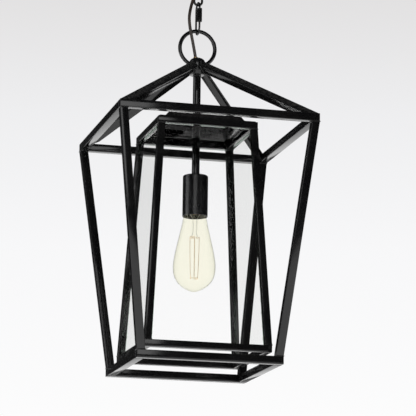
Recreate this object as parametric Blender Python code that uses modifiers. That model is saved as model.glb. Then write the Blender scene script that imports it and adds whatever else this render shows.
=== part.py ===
"""Hanging lantern: an open outer frame, an inner glazed cage, one bulb, and the chain and canopy that hold it up.

Metres, +Z up. The origin is on the ceiling, in the middle of the mounting strap, so everything hangs below Z = 0.
Heights named in this file are measured up from the underside of the outer frame, and below() turns them into Z.
The front is at -Y.
"""

import math

import bmesh
import bpy
from mathutils import Matrix, Vector

# Driving dimensions
CEILING_HEIGHT = 0.6726
GAP = 0.0003

OUTER_TUBE = 0.012
OUTER_TOP_HALF = 0.1507
OUTER_BOTTOM_HALF = 0.1095
OUTER_HEIGHT = 0.370
ROOF_PEAK = 0.4753
RAFTER = 0.012
ROOF_TIP = 0.0015

CAGE_TUBE = 0.0105
CAGE_TOP_HALF = 0.0763
CAGE_BOTTOM_HALF = 0.0957
CAGE_BASE = 0.0190
CAGE_TOP = 0.3687
GLASS_THICKNESS = 0.0025
GLASS_SET_BACK = 0.0050

CAP_THICKNESS = 0.0010
CAP_RISE = 0.0128
CAP_TOP_HALF = 0.0550
CAP_SLOPE_HALF = 0.0620
CAP_EDGE_HALF = 0.0735
NUT_ACROSS_FLATS = 0.0180
NUT_HEIGHT = 0.0050
WASHER_RADIUS = 0.0111

HUB_RADIUS = 0.0120
HUB_BOTTOM = 0.4545
HUB_SHOULDER = 0.4750
HUB_TOP = 0.4822
HUB_CROSS_HOLE = 0.0050
HUB_CROSS_HEIGHT = 0.4710

STEM_RADIUS = 0.0061
STEM_BORE = 0.0044
STEM_BOTTOM = 0.2905
STEM_TOP = 0.4620

SOCKET_RADIUS = 0.0191
SOCKET_WALL = 0.0011
SOCKET_BOTTOM = 0.2340
SOCKET_TOP = 0.2973
BULB_SHELL_RADIUS = 0.0131

RING_RADIUS = 0.0275
RING_WIRE = 0.0029
RING_CENTRE = 0.4970

LINK_WIRE = 0.0018
CHAIN_WIDTH = 0.0160
CHAIN_LENGTH = 0.0348
LOWER_LINK_BOTTOM = 0.5642
QUICK_WIRE = 0.0015
QUICK_WIDTH = 0.0246
QUICK_LENGTH = 0.0528
QUICK_BOTTOM = 0.5183
SLEEVE_LENGTH = 0.0215
SLEEVE_LIFT = 0.0184
SLEEVE_ACROSS_FLATS = 0.0068
THREAD_IN_SLEEVE = 0.0060
LEG_OPENING = 0.0040

STRAP_LENGTH = 0.100
STRAP_WIDTH = 0.018
STRAP_THICKNESS = 0.0020
SCREW_SPACING = 0.078
GROUND_SCREW_X = 0.020
STUD_RADIUS = 0.0040
STUD_LENGTH = 0.0235

LOOP_RADIUS = 0.0110
LOOP_WIRE = 0.0020
LOOP_CENTRE = -0.0412
BOSS_RADIUS = 0.0131
BOSS_TOP = -0.0080
BOSS_BOTTOM = -0.0300
BOSS_CHAMFER = 0.0015

CANOPY_RADIUS = 0.0635
CANOPY_DEPTH = 0.0220
CANOPY_HOLE = 0.0139
CANOPY_SHEET = 0.0012
COLLAR_RADIUS = 0.0190
COLLAR_HEIGHT = 0.0080

CORD_RADIUS = 0.0023
WIRE_HOLE = 0.0029
HUB_WIRE_HOLE = 0.0029
CORD_IN_BOSS = (-0.0055, -0.0075)
CORD_IN_HUB = -0.0025

ROUND_STEPS = 32
OBJECT_NAME = "hanging_lantern"


def below(height):
    """The Z of a height above the underside of the outer frame."""
    return height - CEILING_HEIGHT


# Scene, materials and small helpers
def clear_scene():
    for item in list(bpy.data.objects):
        bpy.data.objects.remove(item, do_unlink=True)


def new_collection(name):
    made = bpy.data.collections.new(name)
    bpy.context.scene.collection.children.link(made)
    return made


def surface(name, colour, metallic, roughness, transmission=0.0):
    made = bpy.data.materials.new(name)
    made.use_nodes = True
    shader = made.node_tree.nodes["Principled BSDF"]
    shader.inputs["Base Color"].default_value = (*colour, 1.0)
    shader.inputs["Metallic"].default_value = metallic
    shader.inputs["Roughness"].default_value = roughness
    shader.inputs["Transmission Weight"].default_value = transmission
    made.diffuse_color = (*colour, 0.4 if transmission else 1.0)
    return made


def add(name, mesh, material, collection, smooth=True):
    made = bpy.data.objects.new(name, mesh)
    collection.objects.link(made)
    if material:
        mesh.materials.append(material)
    if smooth:
        mesh.shade_smooth()
        mesh.set_sharp_from_angle(angle=math.radians(35))
    return made


def mesh_of(shape, name):
    mesh = bpy.data.meshes.new(name)
    shape.to_mesh(mesh)
    shape.free()
    return mesh


def soften(part, width, segments=1):
    bevel = part.modifiers.new("rounded_edges", "BEVEL")
    bevel.width = width
    bevel.segments = segments
    bevel.limit_method = "ANGLE"
    bevel.angle_limit = math.radians(40)


def drill(part, cutter):
    cut = part.modifiers.new("cut_" + cutter.name, "BOOLEAN")
    cut.operation = "DIFFERENCE"
    cut.solver = "EXACT"
    cut.object = cutter


def join_solid(part, other):
    union = part.modifiers.new("join_" + other.name, "BOOLEAN")
    union.operation = "UNION"
    union.solver = "EXACT"
    union.object = other


def helper(part):
    part.hide_render = True
    part.display_type = "WIRE"
    return part


def rod_cutter(name, start, end, radius, segments=24):
    """A cylinder from start to end, to cut a hole with."""
    start, end = Vector(start), Vector(end)
    shape = bmesh.new()
    bmesh.ops.create_cone(
        shape,
        cap_ends=True,
        segments=segments,
        radius1=radius,
        radius2=radius,
        depth=(end - start).length,
    )
    turn = (end - start).to_track_quat("Z", "Y").to_matrix().to_4x4()
    place = Matrix.Translation((start + end) / 2) @ turn
    bmesh.ops.transform(shape, matrix=place, verts=shape.verts)
    return helper(add(name, mesh_of(shape, name), None, CUTTERS, smooth=False))


def box(name, low, high, material, edge=0.0004):
    shape = bmesh.new()
    bmesh.ops.create_cube(shape, size=1)
    low, high = Vector(low), Vector(high)
    for vertex in shape.verts:
        for axis in range(3):
            vertex.co[axis] = high[axis] if vertex.co[axis] > 0 else low[axis]
    made = add(name, mesh_of(shape, name), material, PARTS, smooth=False)
    if edge:
        soften(made, edge)
    return made


def tapered_bar(name, low, high, low_half, high_half, material, edge):
    """A bar from low to high, whose level section goes from low_half to high_half."""
    shape = bmesh.new()
    bmesh.ops.create_cube(shape, size=2)
    for vertex in shape.verts:
        centre, half = (high, high_half) if vertex.co.z > 0 else (low, low_half)
        vertex.co.x = centre[0] + vertex.co.x * half[0]
        vertex.co.y = centre[1] + vertex.co.y * half[1]
        vertex.co.z = centre[2]
    made = add(name, mesh_of(shape, name), material, PARTS, smooth=False)
    if edge:
        soften(made, edge)
    return made


def outline(name, points, closed):
    """A mesh of edges in the XZ plane, for a Screw modifier to turn. Points are (radius, Z)."""
    shape = bmesh.new()
    corners = [shape.verts.new((radius, 0, z)) for radius, z in points]
    for first, second in zip(corners, corners[1:]):
        shape.edges.new((first, second))
    if closed:
        shape.edges.new((corners[-1], corners[0]))
    return mesh_of(shape, name)


def turned(name, points, material, closed=False, steps=ROUND_STEPS, collection=None):
    """A solid turned round Z. Its profile runs from top to bottom down the outer side."""
    made = add(name, outline(name, points, closed), material, collection or PARTS, smooth=False)
    screw = made.modifiers.new("turn", "SCREW")
    screw.axis = "Z"
    screw.angle = math.tau
    screw.steps = steps
    screw.render_steps = steps
    screw.use_merge_vertices = True
    screw.merge_threshold = 0.00001
    screw.use_smooth_shade = True
    return made


def tube(name, points, radius, material, closed=False, resolution=2, collection=None):
    """A wire of round section along a line of points."""
    line = bpy.data.curves.new(name, "CURVE")
    line.dimensions = "3D"
    line.bevel_depth = radius
    line.bevel_resolution = resolution
    line.use_fill_caps = not closed
    spline = line.splines.new("POLY")
    spline.points.add(len(points) - 1)
    for point, place in zip(spline.points, points):
        point.co = (*place, 1.0)
    spline.use_cyclic_u = closed
    line.materials.append(material)
    made = bpy.data.objects.new(name, line)
    (collection or PARTS).objects.link(made)
    return made


def as_mesh(part):
    """The same piece as a welded mesh, so that it can be cut or joined."""
    bpy.context.view_layer.update()
    graph = bpy.context.evaluated_depsgraph_get()
    mesh = bpy.data.meshes.new_from_object(part.evaluated_get(graph))
    shape = bmesh.new()
    shape.from_mesh(mesh)
    bmesh.ops.remove_doubles(shape, verts=shape.verts, dist=0.00001)
    bmesh.ops.recalc_face_normals(shape, faces=shape.faces)
    shape.to_mesh(mesh)
    shape.free()
    name, place, collection = part.name, part.matrix_world.copy(), part.users_collection[0]
    bpy.data.objects.remove(part, do_unlink=True)
    mesh.name = name
    made = bpy.data.objects.new(name, mesh)
    collection.objects.link(made)
    made.matrix_world = place
    return made


def stadium(width, length, bottom, across, wire, per_arc=10):
    """The centreline of a long link hanging in a plane, from the middle of its near leg and round.

    across is the unit vector across the link, and bottom is the Z of its lowest point.
    """
    radius = width / 2 - wire
    low = bottom + wire + radius
    high = bottom + length - wire - radius
    points = []
    for centre, first in ((low, math.pi), (high, 0.0)):
        for step in range(per_arc + 1):
            angle = first + math.pi * step / per_arc
            side = radius * math.cos(angle)
            points.append((across[0] * side, across[1] * side, centre + radius * math.sin(angle)))
    return points


def smooth_route(places, count):
    """Evenly spaced points along a smooth curve through a route's own points."""
    places = [Vector(p) for p in places]
    ends = [2 * places[0] - places[1], *places, 2 * places[-1] - places[-2]]
    fine = []
    for a, b, c, d in zip(ends, ends[1:], ends[2:], ends[3:]):
        for step in range(12):
            t = step / 12
            bend = -a + 3 * b - 3 * c + d
            curve = 2 * a - 5 * b + 4 * c - d
            fine.append((2 * b + (c - a) * t + curve * t * t + bend * t * t * t) / 2)
    fine.append(places[-1])
    along = [0.0]
    for first, second in zip(fine, fine[1:]):
        along.append(along[-1] + (second - first).length)
    spaced, k = [], 0
    for step in range(count):
        want = along[-1] * step / (count - 1)
        while k < len(along) - 2 and along[k + 1] < want:
            k += 1
        share = (want - along[k]) / (along[k + 1] - along[k])
        spaced.append(fine[k].lerp(fine[k + 1], min(1.0, share)))
    return spaced


def hex_nut(name, low, high, across_flats, hole, material):
    shape = bmesh.new()
    corner = across_flats / math.sqrt(3)
    bmesh.ops.create_cone(
        shape, cap_ends=True, segments=6, radius1=corner, radius2=corner, depth=high - low
    )
    place = Matrix.Translation((0, 0, (low + high) / 2))
    bmesh.ops.transform(shape, matrix=place, verts=shape.verts)
    made = add(name, mesh_of(shape, name), material, PARTS, smooth=False)
    drill(made, rod_cutter(name + "_hole", (0, 0, low - 0.002), (0, 0, high + 0.002), hole))
    return made


def ring_profile(inner, outer, low, high):
    """A closed rectangular profile, down its outer side."""
    return [(outer, high), (outer, low), (inner, low), (inner, high)]


# Ceiling side
def make_mounting_strap():
    end, side = STRAP_LENGTH / 2, STRAP_WIDTH / 2
    low, high = (-end, -side, -STRAP_THICKNESS), (end, side, 0.0)
    strap = box("mounting_strap", low, high, MATERIALS["zinc"], GAP)
    holes = (
        ("stud_hole", 0.0, STUD_RADIUS + GAP),
        ("left_screw_hole", -SCREW_SPACING / 2, 0.0024),
        ("right_screw_hole", SCREW_SPACING / 2, 0.0024),
        ("ground_hole", GROUND_SCREW_X, 0.0021),
    )
    for name, x, radius in holes:
        drill(strap, rod_cutter(name, (x, 0, -0.01), (x, 0, 0.01), radius))


def make_ceiling_stud():
    turned(
        "ceiling_stud",
        [(0, 0), (STUD_RADIUS, 0), (STUD_RADIUS, 0.001 - STUD_LENGTH)]
        + [(STUD_RADIUS - 0.0006, -STUD_LENGTH), (0, -STUD_LENGTH)],
        MATERIALS["zinc"],
        steps=24,
    )
    top = -STRAP_THICKNESS - GAP
    hex_nut("stud_nut", top - 0.0043, top, 0.0130, STUD_RADIUS + GAP, MATERIALS["zinc"])


def make_ground_screw():
    head = -STRAP_THICKNESS - GAP
    turned(
        "ground_screw",
        [(0, -GAP), (0.0018, -GAP), (0.0018, head), (0.0040, head)]
        + [(0.0040, head - 0.0012), (0.0032, head - 0.0022), (0, head - 0.0025)],
        MATERIALS["green_screw"],
        steps=20,
    ).location.x = GROUND_SCREW_X


def make_hanging_loop():
    boss = turned(
        "hanging_loop",
        [(0, BOSS_TOP), (BOSS_RADIUS - BOSS_CHAMFER, BOSS_TOP), (BOSS_RADIUS, BOSS_TOP - BOSS_CHAMFER)]
        + [(BOSS_RADIUS, BOSS_BOTTOM + BOSS_CHAMFER), (BOSS_RADIUS - BOSS_CHAMFER, BOSS_BOTTOM)]
        + [(0, BOSS_BOTTOM)],
        MATERIALS["black"],
    )
    circle = [
        (
            LOOP_RADIUS * math.cos(math.tau * step / 32),
            0.0,
            LOOP_CENTRE + LOOP_RADIUS * math.sin(math.tau * step / 32),
        )
        for step in range(32)
    ]
    eye = tube("loop_eye", circle, LOOP_WIRE, MATERIALS["black"], closed=True, collection=CUTTERS)
    join_solid(boss, helper(as_mesh(eye)))
    seat_bottom = -STUD_LENGTH - 0.0005
    drill(boss, rod_cutter("stud_seat", (0, 0, seat_bottom), (0, 0, 0.0), STUD_RADIUS + GAP))
    x, y = CORD_IN_BOSS
    drill(boss, rod_cutter("wire_way", (x, y, -0.040), (x, y, 0.0), WIRE_HOLE, 16))


def make_canopy():
    canopy = turned(
        "canopy",
        [(CANOPY_RADIUS, 0.0), (CANOPY_RADIUS, -0.0030), (0.0618, -0.0080), (0.0575, -0.0128)]
        + [(0.0500, -0.0170), (0.0400, -0.0198), (0.0280, -0.0214), (CANOPY_HOLE, -CANOPY_DEPTH)],
        MATERIALS["black"],
        steps=48,
    )
    sheet = canopy.modifiers.new("sheet", "SOLIDIFY")
    sheet.thickness = CANOPY_SHEET
    sheet.offset = -1


def make_screw_collar():
    top = -CANOPY_DEPTH - GAP
    inner = BOSS_RADIUS + GAP
    bottom = top - COLLAR_HEIGHT
    turned(
        "screw_collar",
        [(COLLAR_RADIUS, top), (COLLAR_RADIUS, bottom + 0.0022), (0.0168, bottom)]
        + [(inner, bottom), (inner, top)],
        MATERIALS["black"],
        closed=True,
    )


# Chain, quick link and ring
def make_chain():
    lower_bottom = below(LOWER_LINK_BOTTOM)
    upper_bottom = lower_bottom + CHAIN_LENGTH - 2 * LINK_WIRE - GAP - 2 * LINK_WIRE
    for name, bottom, across in (
        ("lower_chain_link", lower_bottom, (1, 0)),
        ("upper_chain_link", upper_bottom, (0, 1)),
    ):
        line = stadium(CHAIN_WIDTH, CHAIN_LENGTH, bottom, across, LINK_WIRE)
        tube(name, line, LINK_WIRE, MATERIALS["black"], closed=True)


def make_quick_link():
    """An open link whose near leg has a gap, and the threaded sleeve that closes it."""
    bottom = below(QUICK_BOTTOM)
    low = bottom + SLEEVE_LIFT
    line = stadium(QUICK_WIDTH, QUICK_LENGTH, bottom, (0, 1), QUICK_WIRE)
    half = len(line) // 2
    near = line[0]
    high_arc = line[half:]
    gap_low = (near[0], near[1], low + SLEEVE_LENGTH - THREAD_IN_SLEEVE)
    gap_high = (near[0], near[1], gap_low[2] + LEG_OPENING)
    route = [gap_low] + line[:half] + high_arc + [gap_high]
    tube("quick_link", route, QUICK_WIRE, MATERIALS["black"])
    hole = QUICK_WIRE + GAP
    sleeve = hex_nut(
        "quick_link_sleeve", 0.0, SLEEVE_LENGTH, SLEEVE_ACROSS_FLATS, hole, MATERIALS["black"]
    )
    sleeve.location = (near[0], near[1], low)
    cutter = bpy.data.objects["quick_link_sleeve_hole"]
    cutter.location = sleeve.location


def make_ring():
    circle = [
        (
            RING_RADIUS * math.cos(math.tau * step / 48),
            0.0,
            below(RING_CENTRE) + RING_RADIUS * math.sin(math.tau * step / 48),
        )
        for step in range(48)
    ]
    tube("hanging_ring", circle, RING_WIRE, MATERIALS["black"], closed=True)


def make_cord():
    """The flat lamp cord, from the loop's wire way down beside the chain, past the ring and into the hub."""
    x, y = CORD_IN_BOSS
    route = [
        (x, y, -0.0170),
        (x, y, -0.0300),
        (x - 0.0003, y + 0.0002, -0.0400),
        (-0.0062, -0.0068, below(0.6160)),
        (-0.0066, -0.0060, below(0.6000)),
        (-0.0072, -0.0054, below(0.5860)),
        (-0.0092, -0.0054, below(0.5740)),
        (-0.0130, -0.0062, below(0.5590)),
        (-0.0152, -0.0070, below(0.5440)),
        (-0.0142, -0.0072, below(0.5300)),
        (-0.0118, -0.0066, below(0.5180)),
        (-0.0087, -0.0046, below(0.5060)),
        (-0.0058, -0.0022, below(0.4950)),
        (-0.0036, -0.0006, below(0.4860)),
        (CORD_IN_HUB, 0.0, below(0.4775)),
    ]
    tube("lamp_cord", smooth_route(route, 40), CORD_RADIUS, MATERIALS["cord"])


# Lantern: hub, stem and outer frame
def make_hub():
    hub = turned(
        "hub",
        [(0, below(HUB_TOP)), (0.0040, below(HUB_TOP - 0.0005)), (0.0078, below(HUB_TOP - 0.0022))]
        + [(0.0105, below(HUB_TOP - 0.0046)), (HUB_RADIUS, below(HUB_SHOULDER))]
        + [(HUB_RADIUS, below(HUB_BOTTOM + 0.001)), (0.0110, below(HUB_BOTTOM))]
        + [(0, below(HUB_BOTTOM))],
        MATERIALS["black"],
    )
    z = below(HUB_CROSS_HEIGHT)
    drill(hub, rod_cutter("hub_cross_hole", (-0.02, 0, z), (0.02, 0, z), HUB_CROSS_HOLE))
    bottom, top = below(HUB_BOTTOM), below(HUB_TOP)
    seat_top = below(STEM_TOP) + GAP
    drill(hub, rod_cutter("stem_seat", (0, 0, bottom - 0.01), (0, 0, seat_top), STEM_RADIUS + GAP))
    drill(hub, rod_cutter("hub_wire_hole", (CORD_IN_HUB, 0, z), (CORD_IN_HUB, 0, top + 0.01), HUB_WIRE_HOLE, 16))


def make_rafters():
    """Each rafter is a square bar with one edge up, from the hub down to the frame's top corner."""
    inner = HUB_RADIUS + GAP
    outer = OUTER_TOP_HALF * math.sqrt(2) - ROOF_TIP
    foot = OUTER_HEIGHT + GAP
    rise = (ROOF_PEAK - foot) / (outer - inner)
    half = RAFTER / math.sqrt(2)
    depth = 2 * half * math.sqrt(1 + rise * rise)
    for front, side, name in CORNERS:
        along = Vector((side, front, 0)).normalized()
        across = Vector((-along.y, along.x, 0))
        shape = bmesh.new()
        ends = ([], [])
        for sideways, drop in ((0, 0), (half, depth / 2), (0, depth), (-half, depth / 2)):
            at_hub = along * inner + across * sideways
            at_foot = along * (outer - drop / rise) + across * sideways
            ends[0].append(shape.verts.new((at_hub.x, at_hub.y, below(ROOF_PEAK - drop))))
            ends[1].append(shape.verts.new((at_foot.x, at_foot.y, below(foot))))
        shape.faces.new(ends[0])
        shape.faces.new(ends[1])
        for first, second in ((0, 1), (1, 2), (2, 3), (3, 0)):
            shape.faces.new((ends[0][first], ends[0][second], ends[1][second], ends[1][first]))
        bmesh.ops.recalc_face_normals(shape, faces=shape.faces)
        rafter = add(f"rafter_{name}", mesh_of(shape, name), MATERIALS["black"], PARTS, False)
        soften(rafter, 0.0005)


def make_square_rim(name, half, low, high, tube_size):
    """Four rails: the front and back run right across, and the sides fit between them."""
    inside = half - tube_size
    for end, y in (("front", -1), ("back", 1)):
        near, far = sorted((y * half, y * inside))
        box(f"{name}_{end}", (-half, near, low), (half, far, high), MATERIALS["black"], 0.0005)
    reach = inside - GAP
    for end, x in (("left", -1), ("right", 1)):
        near, far = sorted((x * half, x * inside))
        box(f"{name}_{end}", (near, -reach, low), (far, reach, high), MATERIALS["black"], 0.0005)


def make_posts(name, low_half, high_half, low, high, tube_size):
    side_half = tube_size / 2
    for front, side, corner in CORNERS:
        foot = low_half - side_half
        head = high_half - side_half
        tapered_bar(
            f"{name}_{corner}",
            (side * foot, front * foot, low),
            (side * head, front * head, high),
            (side_half, side_half),
            (side_half, side_half),
            MATERIALS["black"],
            0.0005,
        )


def at_height(height, low, high, low_half, high_half):
    """How far out a leaning frame is at a height."""
    return low_half + (high_half - low_half) * (height - low) / (high - low)


def make_outer_frame():
    top_low = OUTER_HEIGHT - OUTER_TUBE
    make_square_rim("outer_top_rail", OUTER_TOP_HALF, below(top_low), below(OUTER_HEIGHT), OUTER_TUBE)
    make_square_rim("outer_bottom_rail", OUTER_BOTTOM_HALF, below(0), below(OUTER_TUBE), OUTER_TUBE)
    make_posts(
        "outer_post",
        OUTER_BOTTOM_HALF,
        OUTER_TOP_HALF,
        below(OUTER_TUBE + GAP),
        below(top_low - GAP),
        OUTER_TUBE,
    )


# Inner cage
def make_cage_frame():
    top_low = CAGE_TOP - CAGE_TUBE
    base_high = CAGE_BASE + CAGE_TUBE
    make_square_rim("cage_top_rail", CAGE_TOP_HALF, below(top_low), below(CAGE_TOP), CAGE_TUBE)
    make_square_rim("cage_bottom_rail", CAGE_BOTTOM_HALF, below(CAGE_BASE), below(base_high), CAGE_TUBE)
    make_posts(
        "cage_post",
        CAGE_BOTTOM_HALF,
        CAGE_TOP_HALF,
        below(base_high + GAP),
        below(top_low - GAP),
        CAGE_TUBE,
    )


def make_glass():
    """Four panes, each set back a little from the outer face of the cage and fitted between its posts."""
    low = CAGE_BASE + CAGE_TUBE + 2 * GAP
    high = CAGE_TOP - CAGE_TUBE - 2 * GAP
    half_low, half_high = (
        at_height(h, CAGE_BASE, CAGE_TOP, CAGE_BOTTOM_HALF, CAGE_TOP_HALF) for h in (low, high)
    )
    clear = CAGE_TUBE + 2 * GAP
    thick = GLASS_THICKNESS / 2
    for name, x, y in (("front", 0, -1), ("back", 0, 1), ("left", -1, 0), ("right", 1, 0)):
        ends = []
        for half, height in ((half_low, low), (half_high, high)):
            out = half - GLASS_SET_BACK
            wide = half - clear
            size = (wide, thick) if y else (thick, wide)
            ends.append(((x * out, y * out, below(height)), size))
        (foot, foot_half), (head, head_half) = ends
        tapered_bar(f"glass_{name}", foot, head, foot_half, head_half, MATERIALS["glass"], 0)


def make_cage_cap():
    """A shallow tray upside down on the cage: a flat top, four sloping sides and a narrow level edge."""
    shape = bmesh.new()
    levels = (
        (CAP_TOP_HALF, CAGE_TOP + CAP_RISE),
        (CAP_SLOPE_HALF, CAGE_TOP + GAP + CAP_THICKNESS),
        (CAP_EDGE_HALF, CAGE_TOP + GAP + CAP_THICKNESS),
    )
    rings = []
    for half, height in levels:
        square = ((-half, -half), (half, -half), (half, half), (-half, half))
        rings.append([shape.verts.new((x, y, below(height))) for x, y in square])
    shape.faces.new(rings[0])
    for upper, lower in zip(rings, rings[1:]):
        for k in range(4):
            shape.faces.new((upper[k], lower[k], lower[(k + 1) % 4], upper[(k + 1) % 4]))
    cap = add("cage_cap", mesh_of(shape, "cage_cap"), MATERIALS["black"], PARTS, smooth=False)
    sheet = cap.modifiers.new("sheet", "SOLIDIFY")
    sheet.thickness = CAP_THICKNESS
    sheet.offset = -1
    top = below(CAGE_TOP + CAP_RISE)
    drill(cap, rod_cutter("cap_hole", (0, 0, top - 0.01), (0, 0, top + 0.01), STEM_RADIUS + GAP))


def make_cap_fasteners():
    top = CAGE_TOP + CAP_RISE
    hole = STEM_RADIUS + GAP
    washer_low = below(top + GAP)
    washer_high = washer_low + 0.0012
    turned(
        "cap_washer",
        ring_profile(hole, WASHER_RADIUS, washer_low, washer_high),
        MATERIALS["black"],
        closed=True,
        steps=24,
    )
    hex_nut(
        "cap_nut_upper", washer_high + GAP, washer_high + NUT_HEIGHT, NUT_ACROSS_FLATS, hole, MATERIALS["black"]
    )
    under = below(top - CAP_THICKNESS - GAP)
    hex_nut("cap_nut_lower", under - NUT_HEIGHT, under, NUT_ACROSS_FLATS, hole, MATERIALS["black"])


# Lampholder and bulb
def make_stem():
    turned(
        "stem",
        ring_profile(STEM_BORE, STEM_RADIUS, below(STEM_BOTTOM), below(STEM_TOP)),
        MATERIALS["black"],
        closed=True,
        steps=24,
    )


def make_socket():
    top, bottom = below(SOCKET_TOP), below(SOCKET_BOTTOM)
    inner = SOCKET_RADIUS - SOCKET_WALL
    hole = STEM_RADIUS + GAP
    turned(
        "socket_cup",
        [(hole, top), (SOCKET_RADIUS - 0.0022, top), (SOCKET_RADIUS - 0.0006, top - 0.0006)]
        + [(SOCKET_RADIUS, top - 0.0022), (SOCKET_RADIUS, bottom), (inner, bottom)]
        + [(inner, top - 0.0022), (hole, top - 0.0022)],
        MATERIALS["black_satin"],
        closed=True,
    )
    body = inner - GAP
    low, high = below(0.2420), below(0.2870)
    turned(
        "lampholder_body",
        [(0.0, high), (body - 0.003, high), (body, high - 0.003), (body, low), (0.0145, low)]
        + [(0.0145, below(0.2715)), (0.0, below(0.2715))],
        MATERIALS["ceramic"],
    )
    turned(
        "lampholder_shell",
        [(0.0142, below(0.2680)), (0.0142, low - GAP), (0.0168, low - GAP), (0.0168, low - 0.0008)]
        + [(0.0137, low - 0.0008), (0.0137, below(0.2680))],
        MATERIALS["brass"],
        closed=True,
    )
    turned(
        "lampholder_contact",
        [(0, below(0.2712)), (0.0045, below(0.2712)), (0.0045, below(0.2700))]
        + [(0.0025, below(0.2668)), (0, below(0.2662))],
        MATERIALS["brass"],
        steps=16,
    )


BULB_OUTLINE = (
    (0.2460, 0.0118),
    (0.2396, 0.0118),
    (0.2386, 0.0135),
    (0.2366, 0.0160),
    (0.2335, 0.0174),
    (0.2210, 0.0197),
    (0.2000, 0.0245),
    (0.1800, 0.0290),
    (0.1660, 0.0314),
    (0.1560, 0.0320),
    (0.1470, 0.0313),
    (0.1390, 0.0287),
    (0.1325, 0.0245),
    (0.1270, 0.0190),
    (0.1220, 0.0110),
    (0.1195, 0.0045),
    (0.1186, 0.0),
)


def make_bulb():
    glass = turned(
        "bulb_glass",
        [(radius, below(height)) for height, radius in BULB_OUTLINE],
        MATERIALS["bulb_glass"],
    )
    wall = glass.modifiers.new("wall", "SOLIDIFY")
    wall.thickness = 0.0008
    wall.offset = -1
    turned(
        "bulb_base",
        [(0, below(0.2652)), (0.0045, below(0.2650)), (0.0050, below(0.2638)), (0.0100, below(0.2615))]
        + [(BULB_SHELL_RADIUS, below(0.2600)), (BULB_SHELL_RADIUS, below(0.2400))]
        + [(0.0122, below(0.2400)), (0.0122, below(0.2590)), (0, below(0.2590))],
        MATERIALS["brass"],
    )
    turned(
        "bulb_inner_stem",
        [(0, below(0.2420)), (0.0070, below(0.2420)), (0.0062, below(0.2330)), (0.0032, below(0.2240))]
        + [(0.0022, below(0.2060)), (0.0030, below(0.2035)), (0.0030, below(0.2010))]
        + [(0.0012, below(0.1990)), (0.0012, below(0.1425)), (0.0022, below(0.1410))]
        + [(0.0022, below(0.1385)), (0, below(0.1375))],
        MATERIALS["glass"],
        steps=16,
    )
    strands = 6
    route = []
    for strand in range(strands):
        angle = math.tau * (strand + 0.25) / strands
        heights = (0.2020, 0.1400) if strand % 2 == 0 else (0.1400, 0.2020)
        for height in heights:
            spread = 0.0080 if height > 0.17 else 0.0062
            route.append((spread * math.cos(angle), spread * math.sin(angle), below(height)))
    tube("bulb_filament", route, 0.0003, MATERIALS["filament"])


clear_scene()
PARTS = new_collection(OBJECT_NAME)
CUTTERS = new_collection("cutters")
CORNERS = (
    (-1, -1, "front_left"),
    (-1, 1, "front_right"),
    (1, -1, "back_left"),
    (1, 1, "back_right"),
)
MATERIALS = {
    "black": surface("black_paint", (0.016, 0.016, 0.017), 0.0, 0.34),
    "black_satin": surface("black_satin", (0.018, 0.018, 0.019), 0.0, 0.42),
    "glass": surface("clear_glass", (0.93, 0.97, 0.95), 0.0, 0.03, 1.0),
    "bulb_glass": surface("amber_glass", (1.0, 0.86, 0.55), 0.0, 0.02, 1.0),
    "brass": surface("brass", (0.72, 0.50, 0.22), 1.0, 0.32),
    "ceramic": surface("ceramic", (0.82, 0.80, 0.75), 0.0, 0.35),
    "zinc": surface("zinc_plate", (0.62, 0.63, 0.64), 1.0, 0.40),
    "green_screw": surface("green_screw", (0.05, 0.32, 0.10), 0.6, 0.40),
    "cord": surface("cord_cover", (0.045, 0.026, 0.018), 0.0, 0.50),
    "filament": surface("filament_wire", (0.75, 0.42, 0.15), 0.8, 0.35),
}

make_mounting_strap()
make_ceiling_stud()
make_ground_screw()
make_hanging_loop()
make_canopy()
make_screw_collar()
make_chain()
make_quick_link()
make_ring()
make_cord()
make_hub()
make_rafters()
make_outer_frame()
make_cage_frame()
make_glass()
make_cage_cap()
make_cap_fasteners()
make_stem()
make_socket()
make_bulb()
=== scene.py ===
import math

import bmesh
import bpy
from mathutils import Matrix, Vector


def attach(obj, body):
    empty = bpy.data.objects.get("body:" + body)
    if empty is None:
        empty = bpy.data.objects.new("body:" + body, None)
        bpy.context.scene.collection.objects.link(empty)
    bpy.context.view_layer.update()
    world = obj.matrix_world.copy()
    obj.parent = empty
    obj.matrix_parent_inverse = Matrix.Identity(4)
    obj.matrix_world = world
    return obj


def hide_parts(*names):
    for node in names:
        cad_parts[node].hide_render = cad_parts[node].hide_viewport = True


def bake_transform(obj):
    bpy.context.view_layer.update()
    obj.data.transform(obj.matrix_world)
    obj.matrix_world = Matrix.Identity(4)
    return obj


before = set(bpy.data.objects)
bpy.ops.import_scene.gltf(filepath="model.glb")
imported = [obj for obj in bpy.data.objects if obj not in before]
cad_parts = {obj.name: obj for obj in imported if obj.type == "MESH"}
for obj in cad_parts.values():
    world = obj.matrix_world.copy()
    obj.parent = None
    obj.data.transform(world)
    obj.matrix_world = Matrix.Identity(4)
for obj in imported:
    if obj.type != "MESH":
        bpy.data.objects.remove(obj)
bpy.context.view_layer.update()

ceiling = 0.6726        # the ceiling's height over the frame's underside
sliver = 0.0003         # the space left between two parts that touch


def drop(height):
    # heights are read up from the frame's underside, Z is read down from the ceiling
    return height - ceiling


# selecting and finishing

def deselectAll():
    for item in list(bpy.context.selected_objects):
        item.select_set(False)


def take(name, material):
    # the object that an operator has just added
    made = bpy.context.object
    made.name = name
    made.data.name = name
    made.data.materials.clear()
    made.data.materials.append(material)
    return made


def pick(made, wanted, kind="FACE"):
    # into edit mode with only the wanted faces, edges or points selected
    if bpy.context.object.mode != "EDIT":
        bpy.ops.object.mode_set(mode="EDIT")
    bpy.ops.mesh.select_mode(type=kind)
    bpy.ops.mesh.select_all(action="DESELECT")
    shape = bmesh.from_edit_mesh(made.data)
    rows = {"FACE": shape.faces, "EDGE": shape.edges, "VERT": shape.verts}[kind]
    for row in rows:
        if wanted(row):
            row.select_set(True)
    shape.select_flush_mode()
    bmesh.update_edit_mesh(made.data)


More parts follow.
